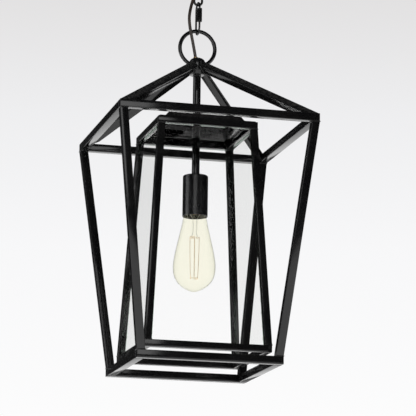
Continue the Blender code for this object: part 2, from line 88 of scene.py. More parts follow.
def leaveEdit():
    if bpy.context.object.mode == "EDIT":
        bpy.ops.object.mode_set(mode="OBJECT")


def settle(made, smoothAngle=32):
    leaveEdit()
    deselectAll()
    made.select_set(True)
    bpy.context.view_layer.objects.active = made
    for modifier in list(made.modifiers):
        bpy.ops.object.modifier_apply(modifier=modifier.name)
    bpy.ops.object.transform_apply(location=True, rotation=True, scale=True)
    bpy.ops.object.shade_smooth_by_angle(angle=math.radians(smoothAngle))
    return made


def place(made, body, slotName, *nodes):
    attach(made, body)
    if nodes:
        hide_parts(*nodes)
    return made


def rounded(made, width, segments=3):
    bevel = made.modifiers.new("roundedEdges", "BEVEL")
    bevel.width = width
    bevel.segments = segments
    bevel.limit_method = "ANGLE"
    bevel.angle_limit = math.radians(40)
    bevel.harden_normals = False


def cutWith(made, cutter, operation="DIFFERENCE"):
    deselectAll()
    made.select_set(True)
    bpy.context.view_layer.objects.active = made
    cut = made.modifiers.new("cut", "BOOLEAN")
    cut.operation = operation
    cut.solver = "EXACT"
    cut.object = cutter
    bpy.ops.object.modifier_apply(modifier=cut.name)
    bpy.data.objects.remove(cutter, do_unlink=True)


def drillRod(start, end, radius, steps=32):
    # a plain rod, used only to cut holes
    start, end = Vector(start), Vector(end)
    turn = (end - start).to_track_quat("Z", "Y").to_euler()
    deselectAll()
    bpy.ops.mesh.primitive_cylinder_add(
        vertices=steps, radius=radius, depth=(end - start).length, location=(start + end) / 2, rotation=turn
    )
    return bpy.context.object


def turned(name, outline, material, steps=64, at=(0, 0), closed=False):
    # a disc pulled along its axis and scaled at each stop, as on a lathe; outline is (radius, Z) rows
    x, y = at
    radius, z = outline[0]
    deselectAll()
    bpy.ops.mesh.primitive_circle_add(
        vertices=steps, radius=radius, fill_type="NOTHING" if closed else "NGON", location=(x, y, z)
    )
    made = take(name, material)
    bpy.ops.object.mode_set(mode="EDIT")
    bpy.ops.mesh.select_mode(type="EDGE" if closed else "FACE")
    bpy.ops.mesh.select_all(action="SELECT")
    stops = list(outline[1:]) + ([outline[0]] if closed else [])
    for nextRadius, nextZ in stops:
        step = {"value": (0, 0, nextZ - z)}
        if closed:
            bpy.ops.mesh.extrude_edges_move(TRANSFORM_OT_translate=step)
        else:
            bpy.ops.mesh.extrude_region_move(TRANSFORM_OT_translate=step)
        if nextRadius <= 0:
            bpy.ops.mesh.merge(type="COLLAPSE")
            break
        share = nextRadius / radius
        bpy.ops.transform.resize(value=(share, share, 1), center_override=(x, y, nextZ))
        radius, z = nextRadius, nextZ
    bpy.ops.mesh.select_all(action="SELECT")
    bpy.ops.mesh.remove_doubles(threshold=0.000005)
    bpy.ops.mesh.normals_make_consistent(inside=False)
    leaveEdit()
    return made


def threaded(low, high, outer, depth, pitch):
    # the rows of a thread's outline, from low to high
    count = max(2, round((high - low) / pitch))
    rows = []
    for turn in range(count):
        base = low + (high - low) * turn / count
        rows += [
            (outer - depth, base), (outer - depth * 0.15, base + pitch * 0.3), (outer, base + pitch * 0.5)
        ]
        rows += [(outer - depth * 0.15, base + pitch * 0.7)]
    return rows + [(outer - depth, high)]


def wireAlong(name, points, radius, material, closed=False, resolution=3):
    # a Bezier line through the points, given a round section and made a mesh
    deselectAll()
    bpy.ops.curve.primitive_bezier_curve_add(location=(0, 0, 0))
    line = bpy.context.object
    line.data.splines.clear()
    spline = line.data.splines.new("POLY")
    spline.points.add(len(points) - 1)
    for point, spot in zip(spline.points, points):
        point.co = (*spot, 1.0)
    spline.use_cyclic_u = closed
    line.data.bevel_depth = radius
    line.data.bevel_resolution = resolution
    line.data.use_fill_caps = not closed
    bpy.ops.object.convert(target="MESH")
    made = take(name, material)
    bpy.ops.object.mode_set(mode="EDIT")
    bpy.ops.mesh.select_all(action="SELECT")
    bpy.ops.mesh.remove_doubles(threshold=0.000005)
    bpy.ops.mesh.normals_make_consistent(inside=False)
    leaveEdit()
    return made


def hexPiece(name, low, high, acrossFlats, hole, material, at=(0, 0), edge=0.0002):
    # a hexagon with turned-off corners and a bore
    corner = acrossFlats / math.sqrt(3)
    x, y = at
    deselectAll()
    bpy.ops.mesh.primitive_cylinder_add(
        vertices=6, radius=corner, depth=high - low, location=(x, y, (low + high) / 2)
    )
    made = take(name, material)
    chamfer = (corner - acrossFlats / 2) * 1.15
    blank = [(corner - chamfer * 1.1, low - 0.00002), (corner + 0.00005, low + chamfer * 0.55)]
    blank += [(corner + 0.00005, high - chamfer * 0.55), (corner - chamfer * 1.1, high + 0.00002)]
    cutWith(made, turned(name + "Blank", blank, material, 48, at), "INTERSECT")
    cutWith(made, drillRod((x, y, low - 0.01), (x, y, high + 0.01), hole))
    rounded(made, edge, 2)
    return made


# materials

def newMaterial(name):
    made = bpy.data.materials.new(name)
    made.use_nodes = True
    return made, made.node_tree.nodes, made.node_tree.links, made.node_tree.nodes["Principled BSDF"]


def noiseOf(nodes, links, scale, detail=3.0, stretch=None, roughness=0.55):
    where = nodes.new("ShaderNodeTexCoord")
    noise = nodes.new("ShaderNodeTexNoise")
    noise.inputs["Scale"].default_value = scale
    noise.inputs["Detail"].default_value = detail
    noise.inputs["Roughness"].default_value = roughness
    if stretch:
        mapping = nodes.new("ShaderNodeMapping")
        mapping.inputs["Scale"].default_value = stretch
        links.new(where.outputs["Object"], mapping.inputs["Vector"])
        links.new(mapping.outputs["Vector"], noise.inputs["Vector"])
    else:
        links.new(where.outputs["Object"], noise.inputs["Vector"])
    return noise.outputs["Fac"]


def ramp(nodes, links, source, stops):
    made = nodes.new("ShaderNodeValToRGB")
    while len(made.color_ramp.elements) < len(stops):
        made.color_ramp.elements.new(0.5)
    for element, (spot, colour) in zip(made.color_ramp.elements, stops):
        element.position = spot
        element.color = (*colour, 1.0)
    links.new(source, made.inputs["Fac"])
    return made.outputs["Color"]


def between(nodes, links, source, low, high, fromLow=0.3, fromHigh=0.7):
    made = nodes.new("ShaderNodeMapRange")
    made.inputs["From Min"].default_value = fromLow
    made.inputs["From Max"].default_value = fromHigh
    made.inputs["To Min"].default_value = low
    made.inputs["To Max"].default_value = high
    links.new(source, made.inputs["Value"])
    return made.outputs["Result"]


def addBump(nodes, links, shader, source, strength, distance):
    bump = nodes.new("ShaderNodeBump")
    bump.inputs["Strength"].default_value = strength
    bump.inputs["Distance"].default_value = distance
    links.new(source, bump.inputs["Height"])
    links.new(bump.outputs["Normal"], shader.inputs["Normal"])
    return bump


def paint(name, dark, light, roughLow, roughHigh, grain, grainStrength, dust=0.06):
    made, nodes, links, shader = newMaterial(name)
    patches = noiseOf(nodes, links, 16.0, 4.0)
    coat = ramp(nodes, links, patches, [(0.35, dark), (0.70, light)])
    # a little dust lies on what faces up
    face = nodes.new("ShaderNodeNewGeometry")
    parts = nodes.new("ShaderNodeSeparateXYZ")
    links.new(face.outputs["Normal"], parts.inputs["Vector"])
    upward = between(nodes, links, parts.outputs["Z"], 0.0, 1.0, 0.55, 1.0)
    specks = between(nodes, links, noiseOf(nodes, links, 240.0, 5.0), 0.0, 1.0, 0.42, 0.75)
    amount = nodes.new("ShaderNodeMath")
    amount.operation = "MULTIPLY"
    links.new(upward, amount.inputs[0])
    links.new(specks, amount.inputs[1])
    mix = nodes.new("ShaderNodeMix")
    mix.data_type = "RGBA"
    links.new(amount.outputs["Value"], mix.inputs["Factor"])
    links.new(coat, mix.inputs["A"])
    mix.inputs["B"].default_value = (dust, dust * 0.97, dust * 0.92, 1.0)
    links.new(mix.outputs["Result"], shader.inputs["Base Color"])
    links.new(
        between(nodes, links, noiseOf(nodes, links, 55.0, 4.0), roughLow, roughHigh),
        shader.inputs["Roughness"]
    )
    addBump(nodes, links, shader, noiseOf(nodes, links, grain, 3.0), grainStrength, 0.0003)
    return made


def metal(name, dark, light, roughLow, roughHigh, stretch=(1, 1, 12), scale=160.0):
    made, nodes, links, shader = newMaterial(name)
    shader.inputs["Metallic"].default_value = 1.0
    links.new(
        ramp(nodes, links, noiseOf(nodes, links, 60.0, 4.0), [(0.32, dark), (0.66, light)]),
        shader.inputs["Base Color"]
    )
    lines = noiseOf(nodes, links, scale, 3.0, stretch)
    links.new(between(nodes, links, lines, roughLow, roughHigh), shader.inputs["Roughness"])
    addBump(nodes, links, shader, lines, 0.12, 0.0002)
    return made


def clearGlass(name, tint, rimTint, mirrorRoughness, smudge=0.02, shine=1.25):
    # what is behind shows through, tinted, and the surface mirrors the room at a slant
    made, nodes, links, shader = newMaterial(name)
    nodes.remove(shader)
    output = nodes["Material Output"]
    through = nodes.new("ShaderNodeBsdfTransparent")
    facing = nodes.new("ShaderNodeLayerWeight")
    facing.inputs["Blend"].default_value = 0.35
    marks = between(nodes, links, noiseOf(nodes, links, 28.0, 5.0), 0.0, 1.0, 0.30, 0.72)
    tintMix = nodes.new("ShaderNodeMix")
    tintMix.data_type = "RGBA"
    tintMix.inputs["A"].default_value = (*tint, 1.0)
    tintMix.inputs["B"].default_value = (*rimTint, 1.0)
    links.new(facing.outputs["Facing"], tintMix.inputs["Factor"])
    links.new(tintMix.outputs["Result"], through.inputs["Color"])
    mirror = nodes.new("ShaderNodeBsdfGlossy")
    mirror.inputs["Color"].default_value = (1.0, 1.0, 1.0, 1.0)
    links.new(
        between(nodes, links, marks, mirrorRoughness, mirrorRoughness + smudge, 0.0, 1.0),
        mirror.inputs["Roughness"]
    )
    slant = nodes.new("ShaderNodeFresnel")
    slant.inputs["IOR"].default_value = shine
    # only the face that is met first mirrors
    face = nodes.new("ShaderNodeNewGeometry")
    outside = between(nodes, links, face.outputs["Backfacing"], 1.0, 0.0, 0.0, 1.0)
    share = nodes.new("ShaderNodeMath")
    share.operation = "MULTIPLY"
    links.new(slant.outputs["Fac"], share.inputs[0])
    links.new(outside, share.inputs[1])
    mix = nodes.new("ShaderNodeMixShader")
    links.new(share.outputs["Value"], mix.inputs["Fac"])
    links.new(through.outputs["BSDF"], mix.inputs[1])
    links.new(mirror.outputs["BSDF"], mix.inputs[2])
    links.new(mix.outputs["Shader"], output.inputs["Surface"])
    return made


def plainFinish(name, dark, light, roughness, bumpScale=700.0, bumpStrength=0.1, coat=0.0):
    made, nodes, links, shader = newMaterial(name)
    links.new(
        ramp(nodes, links, noiseOf(nodes, links, 90.0, 4.0), [(0.35, dark), (0.68, light)]),
        shader.inputs["Base Color"]
    )
    links.new(
        between(nodes, links, noiseOf(nodes, links, 120.0, 3.0), roughness - 0.05, roughness + 0.06),
        shader.inputs["Roughness"]
    )
    shader.inputs["Coat Weight"].default_value = coat
    addBump(nodes, links, shader, noiseOf(nodes, links, bumpScale, 2.0), bumpStrength, 0.0002)
    return made


finishes = {
    "blackPaint": paint(
        "blackPaint", (0.0022, 0.0022, 0.0025), (0.0048, 0.0048, 0.0048), 0.08, 0.15, 900.0, 0.04
    ),
    "satinBlack": paint(
        "satinBlack", (0.003, 0.003, 0.0033), (0.006, 0.006, 0.0065), 0.22, 0.30, 1400.0, 0.15
    ),
    "weldPaint": paint(
        "weldPaint", (0.0022, 0.0022, 0.0022), (0.0048, 0.0048, 0.0048), 0.20, 0.30, 420.0, 0.40
    ),
    "paneGlass": clearGlass("paneGlass", (1.0, 1.0, 0.999), (0.985, 0.988, 0.980), 0.012, 0.02, 1.12),
    "paneEdge": clearGlass("paneEdge", (0.78, 0.88, 0.81), (0.55, 0.70, 0.60), 0.10),
    "amberGlass": clearGlass("amberGlass", (1.0, 0.995, 0.955), (0.985, 0.985, 0.940), 0.01, 0.01, 1.16),
    "mountGlass": clearGlass("mountGlass", (0.995, 0.995, 0.990), (0.93, 0.94, 0.92), 0.03, 0.02, 1.10),
    "brass": metal("brass", (0.52, 0.33, 0.13), (0.76, 0.54, 0.25), 0.22, 0.40),
    "zinc": metal("zinc", (0.46, 0.46, 0.45), (0.66, 0.67, 0.67), 0.30, 0.48, (12, 1, 1)),
    "copperWire": metal("copperWire", (0.80, 0.52, 0.26), (0.95, 0.70, 0.40), 0.28, 0.42),
    "solder": metal("solder", (0.40, 0.40, 0.40), (0.58, 0.58, 0.57), 0.34, 0.50, (1, 1, 1)),
    "sealant": clearGlass("sealant", (0.93, 0.94, 0.92), (0.70, 0.72, 0.70), 0.15, 0.1),
    "porcelain": plainFinish("porcelain", (0.74, 0.72, 0.66), (0.84, 0.82, 0.77), 0.22, 300.0, 0.05, 0.4),
    "blackGlass": plainFinish("blackGlass", (0.006, 0.006, 0.008), (0.012, 0.012, 0.014), 0.12, 500.0, 0.05),
    "greenScrew": plainFinish("greenScrew", (0.03, 0.22, 0.07), (0.06, 0.34, 0.12), 0.32, 500.0, 0.1, 0.2),
    "cordCover": plainFinish("cordCover", (0.010, 0.006, 0.0045), (0.020, 0.012, 0.008), 0.36, 1600.0, 0.18),
}
print("finishes ready:", len(finishes))


# camera

cameraSet = {
    "azimuth": -14.196,
    "elevation": -11.965,
    "roll": 0.774,
    "distance": 3.603,
    "lens": 206.3,
    "target": (0.02013, 0.0, -0.4236),
}


def addCamera():
    turn, lift, roll = (math.radians(cameraSet[key]) for key in ("azimuth", "elevation", "roll"))
    back = Vector((math.sin(turn) * math.cos(lift), -math.cos(turn) * math.cos(lift), math.sin(lift)))
    right = (-back).cross(Vector((0, 0, 1))).normalized()
    up = right.cross(-back)
    tiltedRight = math.cos(roll) * right + math.sin(roll) * up
    tiltedUp = math.cos(roll) * up - math.sin(roll) * right
    spot = Vector(cameraSet["target"]) + back * cameraSet["distance"]
    facing = Matrix((tiltedRight, tiltedUp, back)).transposed()
    deselectAll()
    bpy.ops.object.camera_add(location=spot, rotation=facing.to_euler())
    camera = bpy.context.object
    camera.name = "mainCamera"
    camera.data.lens = cameraSet["lens"]
    camera.data.clip_end = 100
    bpy.context.scene.camera = camera


addCamera()
print("camera set")


# lamp cord, which hangs beside the chain between the loop and the hub

cordSet = {
    "width": 0.0046,
    "thickness": 0.0027,
    "step": 0.0012,
    # down from the loop's wire way, beside the chain, past the ring and into the hub
    "route": (
        (-0.0055, -0.0075, -0.0170), (-0.0055, -0.0075, -0.0300), (-0.0058, -0.0073, -0.0400),
        (-0.0062, -0.0068, -0.0566), (-0.0066, -0.0060, -0.0726), (-0.0072, -0.0054, -0.0866),
        (-0.0092, -0.0054, -0.0986), (-0.0130, -0.0062, -0.1136), (-0.0152, -0.0070, -0.1286),
        (-0.0142, -0.0072, -0.1426), (-0.0118, -0.0066, -0.1546), (-0.0087, -0.0046, -0.1666),
        (-0.0058, -0.0022, -0.1776), (-0.0036, -0.0006, -0.1866), (-0.0025, 0.0, -0.1951),
    ),
    # a stretch for each joint that the cord hangs past: its lowest Z, the two bodies, and where it bends
    "stretches": (
        ("cordAtLoop", -0.0640, "ceiling_mount", "upper_link", -0.0350, -0.0620),
        ("cordAtUpperLink", -0.0948, "upper_link", "lower_link", -0.0660, -0.0930),
        ("cordAtLowerLink", -0.1280, "lower_link", "connector", -0.0965, -0.1260),
        ("cordAtQuickLink", -0.1640, "connector", "ring", -0.1300, -0.1620),
        ("cordAtHub", -0.2000, "ring", "lantern", -0.1660, -0.1860),
    ),
    "widthTurns": ((-0.017, 10), (-0.060, 12), (-0.110, 16), (-0.150, 16), (-0.166, 14), (-0.1951, 10)),
}


def smoothLine(places, step):
    # evenly spaced points on one smooth curve through the route
    places = [Vector(p) for p in places]
    ends = [2 * places[0] - places[1], *places, 2 * places[-1] - places[-2]]
    fine = []
    for a, b, c, d in zip(ends, ends[1:], ends[2:], ends[3:]):
        for part in range(40):
            t = part / 40
            bend = 2 * a - 5 * b + 4 * c - d
            twist = -a + 3 * b - 3 * c + d
            fine.append((2 * b + (c - a) * t + bend * t * t + twist * t * t * t) / 2)
    fine.append(places[-1])
    total = sum((q - p).length for p, q in zip(fine, fine[1:]))
    count = round(total / step)
    line, walked, k = [fine[0]], 0.0, 0
    for part in range(1, count):
        want = total * part / count
        while walked + (fine[k + 1] - fine[k]).length < want:
            walked += (fine[k + 1] - fine[k]).length
            k += 1
        line.append(fine[k].lerp(fine[k + 1], (want - walked) / (fine[k + 1] - fine[k]).length))
    return line + [fine[-1]]


def turnAt(z):
    rows = cordSet["widthTurns"]
    for (highZ, first), (lowZ, second) in zip(rows, rows[1:]):
        if z >= lowZ:
            share = max(0.0, min(1.0, (highZ - z) / (highZ - lowZ)))
            return math.radians(first + (second - first) * share * share * (3 - 2 * share))
    return math.radians(rows[-1][1])


def cordSection(angle):
    # two round cores side by side with a web between them
    core = cordSet["thickness"] / 2
    apart = cordSet["width"] / 2 - core
    x = apart * (1 if math.cos(angle) > 0 else -1) + core * math.cos(angle)
    y = core * math.sin(angle)
    if abs(math.cos(angle)) < 0.5:
        x = (apart + core * 0.5) * math.cos(angle) * 2 * 0.999
        y = math.copysign(core * (0.62 + 0.246 * (abs(math.cos(angle)) * 2) ** 1.2), math.sin(angle))
    return x, y


def addCord():
    line = smoothLine(cordSet["route"], cordSet["step"])
    around = [math.tau * k / 24 for k in range(24)]
    first = 0
    for name, lowest, bodyA, bodyB, bendFrom, bendTo in cordSet["stretches"]:
        last = max(k for k, p in enumerate(line) if p.z >= lowest)
        points = line[first:last + 1]
        shape = bmesh.new()
        rings = []
        for k, spot in enumerate(points):
            whole = first + k
            ahead = line[min(whole + 1, len(line) - 1)] - line[max(whole - 1, 0)]
            ahead.normalize()
            turn = turnAt(spot.z)
            side = Vector((math.cos(turn), -math.sin(turn), 0))
            side = (side - ahead * side.dot(ahead)).normalized()
            front = ahead.cross(side)
            ring = []
            for angle in around:
                x, y = cordSection(angle)
                ring.append(shape.verts.new(spot + side * x + front * y))
            rings.append(ring)
        for upper, lower in zip(rings, rings[1:]):
            for k in range(24):
                shape.faces.new((upper[k], upper[(k + 1) % 24], lower[(k + 1) % 24], lower[k]))
        shape.faces.new(rings[0])
        shape.faces.new(list(reversed(rings[-1])))
        bmesh.ops.recalc_face_normals(shape, faces=shape.faces)
        mesh = bpy.data.meshes.new(name)
        shape.to_mesh(mesh)
        shape.free()
        mesh.materials.append(finishes["cordCover"])
        piece = bpy.data.objects.new(name, mesh)
        bpy.context.scene.collection.objects.link(piece)
        settle(piece, 50)
        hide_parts("lamp_cord")
        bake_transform(piece)
        first = last
    print("cord stretches:", len(cordSet["stretches"]))


addCord()


# floor and light

studioSet = {
    "floorZ": -1.95,
    "floorSize": 60.0,
    "sky": (
        (0.0, (0.985, 0.985, 0.985)), (0.45, (0.935, 0.935, 0.945)), (0.72, (0.86, 0.86, 0.872)),
        (1.0, (0.745, 0.735, 0.737))
    ),
    "roomBack": 0.025,
    "roomFront": 0.015,
}


def addFloor():
    deselectAll()
    bpy.ops.mesh.primitive_plane_add(size=studioSet["floorSize"], location=(0, 0, studioSet["floorZ"]))
    made, nodes, links, shader = newMaterial("paleFloor")
    links.new(
        ramp(
            nodes, links, noiseOf(nodes, links, 1.5, 3.0),
            [(0.3, (0.84, 0.84, 0.84)), (0.7, (0.87, 0.87, 0.87))]
        ),
        shader.inputs["Base Color"]
    )
    shader.inputs["Roughness"].default_value = 0.75
    floor = take("floor", made)


def addWorld():
    # a pale backdrop for the eye, and a soft room round the lantern: bright behind, dim in front
    world = bpy.data.worlds.new("studio")
    bpy.context.scene.world = world
    world.use_nodes = True
    nodes, links = world.node_tree.nodes, world.node_tree.links
    plain = nodes["Background"]
    where = nodes.new("ShaderNodeTexCoord")
    parts = nodes.new("ShaderNodeSeparateXYZ")
    links.new(where.outputs["Generated"], parts.inputs["Vector"])
    sky = ramp(
        nodes, links, between(nodes, links, parts.outputs["Z"], 0.0, 1.0, 0.10, 0.30), studioSet["sky"]
    )
    links.new(sky, plain.inputs["Color"])
    room = nodes.new("ShaderNodeBackground")
    depth = between(
        nodes, links, parts.outputs["Y"], studioSet["roomFront"], studioSet["roomBack"], -0.25, 0.45
    )
    links.new(depth, room.inputs["Strength"])
    room.inputs["Color"].default_value = (0.98, 0.98, 1.0, 1.0)
    light = nodes.new("ShaderNodeLightPath")
    mix = nodes.new("ShaderNodeMixShader")
    links.new(light.outputs["Is Camera Ray"], mix.inputs["Fac"])
    links.new(room.outputs["Background"], mix.inputs[1])
    links.new(plain.outputs["Background"], mix.inputs[2])
    links.new(mix.outputs["Shader"], nodes["World Output"].inputs["Surface"])


def addSoftbox(name, spot, aim, size, power, colour=(1, 1, 1)):
    turn = (Vector(aim) - Vector(spot)).to_track_quat("-Z", "Y").to_euler()
    deselectAll()
    bpy.ops.object.light_add(type="AREA", location=spot, rotation=turn)
    lamp = bpy.context.object
    lamp.name = name
    lamp.data.shape = "RECTANGLE"
    lamp.data.size, lamp.data.size_y = size
    lamp.data.energy = power
    lamp.data.color = colour
    lamp.visible_camera = False


def addLights():
    centre = (0, 0, -0.45)
    addSoftbox("leftSoftbox", (-3.3, 0.23, 0.25), centre, (2.0, 2.8), 28, (0.97, 0.98, 1.0))
    addSoftbox("frontSoftbox", (-1.1, -4.4, 0.5), centre, (2.4, 1.6), 26)
    addSoftbox("rightStrip", (2.8, -2.9, 0.4), centre, (0.8, 2.4), 4)
    deselectAll()
    bpy.ops.object.light_add(type="SUN", location=(0, 0, 3), rotation=(math.radians(12), math.radians(-8), 0))
    sun = bpy.context.object
    sun.name = "ceilingGlow"
    sun.data.energy = 4.6
    sun.data.angle = math.radians(120)
    sun.visible_glossy = False


addFloor()
addWorld()
addLights()
bpy.context.scene.view_settings.view_transform = "Standard"
# the two panes, the bulb and its glass stem lie one behind the other
bpy.context.scene.cycles.transparent_max_bounces = 24
print("floor and light set")


# bars of the two frames

frameSet = {
    "outerTube": 0.012, "outerTopHalf": 0.1507, "outerBottomHalf": 0.1095, "outerHeight": 0.370,
    "cageTube": 0.0105, "cageTopHalf": 0.0763, "cageBottomHalf": 0.0957,
    "cageBase": 0.0190, "cageTop": 0.3687, "edge": 0.0007, "bead": 0.00055,
    "hubRadius": 0.0120, "roofPeak": 0.4753, "roofTip": 0.0015, "rafter": 0.012,
}
corners = (("front_left", -1, -1), ("front_right", 1, -1), ("back_left", -1, 1), ("back_right", 1, 1))


def bar(name, low, high, node, edge=None):
    # a square bar between two corners, with its long edges rolled over
    middle = (Vector(low) + Vector(high)) / 2
    size = Vector(high) - Vector(low)
    deselectAll()
    bpy.ops.mesh.primitive_cube_add(size=1, location=middle)
    made = take(name, finishes["blackPaint"])
    made.scale = size
    bpy.ops.object.transform_apply(location=True, rotation=False, scale=True)
    rounded(made, edge or frameSet["edge"])
    settle(made)
    return place(made, "lantern", "black_paint", node)


def leaningPost(name, node, xLow, yLow, zLow, xHigh, yHigh, zHigh, size):
    # an upright bar whose top is slid over to where it leans
    deselectAll()
    bpy.ops.mesh.primitive_cube_add(
        size=1, location=(xLow, yLow, (zLow + zHigh) / 2), scale=(size, size, zHigh - zLow)
    )
    made = take(name, finishes["blackPaint"])
    bpy.ops.object.transform_apply(location=True, rotation=False, scale=True)
    pick(made, lambda face: face.normal.z > 0.9)
    bpy.ops.transform.translate(value=(xHigh - xLow, yHigh - yLow, 0))
    leaveEdit()
    rounded(made, frameSet["edge"])
    settle(made)
    return place(made, "lantern", "black_paint", node)


def weldBead(name, x, y, z, half, thickness):
    # a low ridge of weld round the end of a post
    reach = half + frameSet["bead"]
    deselectAll()
    bpy.ops.mesh.primitive_cube_add(size=1, location=(x, y, z), scale=(2 * reach, 2 * reach, thickness))
    made = take(name, finishes["weldPaint"])
    bpy.ops.object.transform_apply(location=True, rotation=False, scale=True)
    pick(made, lambda face: abs(face.normal.z) < 0.5)
    bpy.ops.mesh.subdivide(number_cuts=5)
    # the ridge isn't quite even
    bpy.ops.mesh.select_mode(type="VERT")
    shape = bmesh.from_edit_mesh(made.data)
    for k, vertex in enumerate(shape.verts):
        sway = math.sin(vertex.co.x * 2300 + k) * math.cos(vertex.co.y * 1900 + 2 * k)
        vertex.co.x += (vertex.co.x - x) * 0.010 * sway
        vertex.co.y += (vertex.co.y - y) * 0.010 * sway
    bmesh.update_edit_mesh(made.data)
    leaveEdit()
    rounded(made, thickness * 0.35, 2)
    settle(made, 60)
    return place(made, "lantern", "black_paint")


def squareRim(name, label, half, low, high, tube):
    inside = half - tube
    for end, side in (("front", -1), ("back", 1)):
        near, far = sorted((side * half, side * inside))
        bar(label + end.capitalize(), (-half, near, low), (half, far, high), f"{name}_{end}")
    reach = inside - sliver
    for end, side in (("left", -1), ("right", 1)):
        near, far = sorted((side * half, side * inside))
        bar(label + end.capitalize(), (near, -reach, low), (far, reach, high), f"{name}_{end}")
        # the seam where a side rail meets the front and back ones, filled and ground nearly flush
        for frontBack in (-1, 1):
            seam = (side * (half - tube / 2), frontBack * (inside - sliver / 2), (low + high) / 2)
            deselectAll()
            bpy.ops.mesh.primitive_cube_add(
                size=1, location=seam, scale=(tube + 0.0003, 0.0011, tube + 0.0003)
            )
            made = take(
                f"{label}Seam{end.capitalize()}{'Front' if frontBack < 0 else 'Back'}", finishes["weldPaint"]
            )
            bpy.ops.object.transform_apply(location=True, rotation=False, scale=True)
            rounded(made, 0.0005, 3)
            settle(made, 60)
            place(made, "lantern", "black_paint")


def posts(name, label, lowHalf, highHalf, low, high, tube):
    for corner, side, front in corners:
        foot, head = lowHalf - tube / 2, highHalf - tube / 2
        short = "".join(word.capitalize() for word in corner.split("_"))
        leaningPost(
            label + short, f"{name}_{corner}", side * foot, front * foot, low, side * head, front * head,
            high, tube
        )
        weldBead(f"{label}Foot{short}", side * foot, front * foot, low + 0.0001, tube / 2, 0.0013)
        weldBead(f"{label}Head{short}", side * head, front * head, high - 0.0001, tube / 2, 0.0013)


def outerFrame():
    s = frameSet
    tube = s["outerTube"]
    topLow = s["outerHeight"] - tube
    squareRim("outer_top_rail", "outerTop", s["outerTopHalf"], drop(topLow), drop(s["outerHeight"]), tube)
    squareRim("outer_bottom_rail", "outerBottom", s["outerBottomHalf"], drop(0), drop(tube), tube)
    posts(
        "outer_post", "outerPost", s["outerBottomHalf"], s["outerTopHalf"], drop(tube) + sliver,
        drop(topLow) - sliver, tube
    )


def cageFrame():
    s = frameSet
    tube = s["cageTube"]
    topLow, baseHigh = s["cageTop"] - tube, s["cageBase"] + tube
    squareRim("cage_top_rail", "cageTop", s["cageTopHalf"], drop(topLow), drop(s["cageTop"]), tube)
    squareRim(
        "cage_bottom_rail", "cageBottom", s["cageBottomHalf"], drop(s["cageBase"]), drop(baseHigh), tube
    )
    posts(
        "cage_post", "cagePost", s["cageBottomHalf"], s["cageTopHalf"], drop(baseHigh) + sliver,
        drop(topLow) - sliver, tube
    )


def rafters():
    # a square bar with one edge up, cut level at its foot and upright at the hub
    s = frameSet
    inner = s["hubRadius"] + sliver
    outer = s["outerTopHalf"] * math.sqrt(2) - s["roofTip"]
    foot = s["outerHeight"] + sliver
    rise = (s["roofPeak"] - foot) / (outer - inner)
    slope = math.atan(rise)
    size = s["rafter"]
    half = size / math.sqrt(2)
    for corner, side, front in corners:
        heading = math.atan2(front, side)
        ahead = Vector((math.cos(heading), math.sin(heading), 0))
        ridge = ahead * ((inner + outer) / 2) + Vector((0, 0, drop((s["roofPeak"] + foot) / 2)))
        down = Vector((-ahead.x * math.sin(slope), -ahead.y * math.sin(slope), -math.cos(slope)))
        deselectAll()
        bpy.ops.mesh.primitive_cube_add(
            size=1, location=ridge + down * half, rotation=(math.radians(45), slope, heading),
            scale=(0.30, size, size)
        )
        short = "".join(word.capitalize() for word in corner.split("_"))
        made = take("rafter" + short, finishes["blackPaint"])
        bpy.ops.object.transform_apply(location=True, rotation=True, scale=True)
        rounded(made, s["edge"])
        bpy.ops.object.modifier_apply(modifier="roundedEdges")
        for spot, normal in (((0, 0, drop(foot)), (0, 0, -1)), (ahead * inner, -ahead)):
            bpy.ops.object.mode_set(mode="EDIT")
            bpy.ops.mesh.select_all(action="SELECT")
            bpy.ops.mesh.bisect(
                plane_co=spot, plane_no=normal, use_fill=True, clear_outer=True, clear_inner=False
            )
            leaveEdit()
        settle(made)
        place(made, "lantern", "black_paint", "rafter_" + corner)
        # the weld round each side of the rafter's end on the hub
        across = Vector((-ahead.y, ahead.x, 0))
        depth = 2 * half / math.cos(slope)
        for mark, edgeSide in (("A", -1), ("B", 1)):
            seam = []
            for k in range(9):
                wide = 1 - abs(k - 4) / 4
                spot = ahead * (inner - 0.0004 - 0.0016 * wide) + across * (edgeSide * 0.88 * half * wide)
                seam.append(spot + Vector((0, 0, drop(s["roofPeak"]) - 0.0008 - (depth - 0.0016) * k / 8)))
            seam = wireAlong(f"hubWeld{short}{mark}", seam, 0.0012, finishes["weldPaint"])
            settle(seam, 60)
            place(seam, "lantern", "black_paint")


outerFrame()
cageFrame()
rafters()
print("bars and welds made")


# glass panes

paneSet = {"thickness": 0.0025, "setBack": 0.0050, "polish": 0.0004, "dots": 17, "dotSize": 0.0011}


def spread(height):
    s = frameSet
    spread = s["cageTopHalf"] - s["cageBottomHalf"]
    return s["cageBottomHalf"] + spread * (height - s["cageBase"]) / (s["cageTop"] - s["cageBase"])


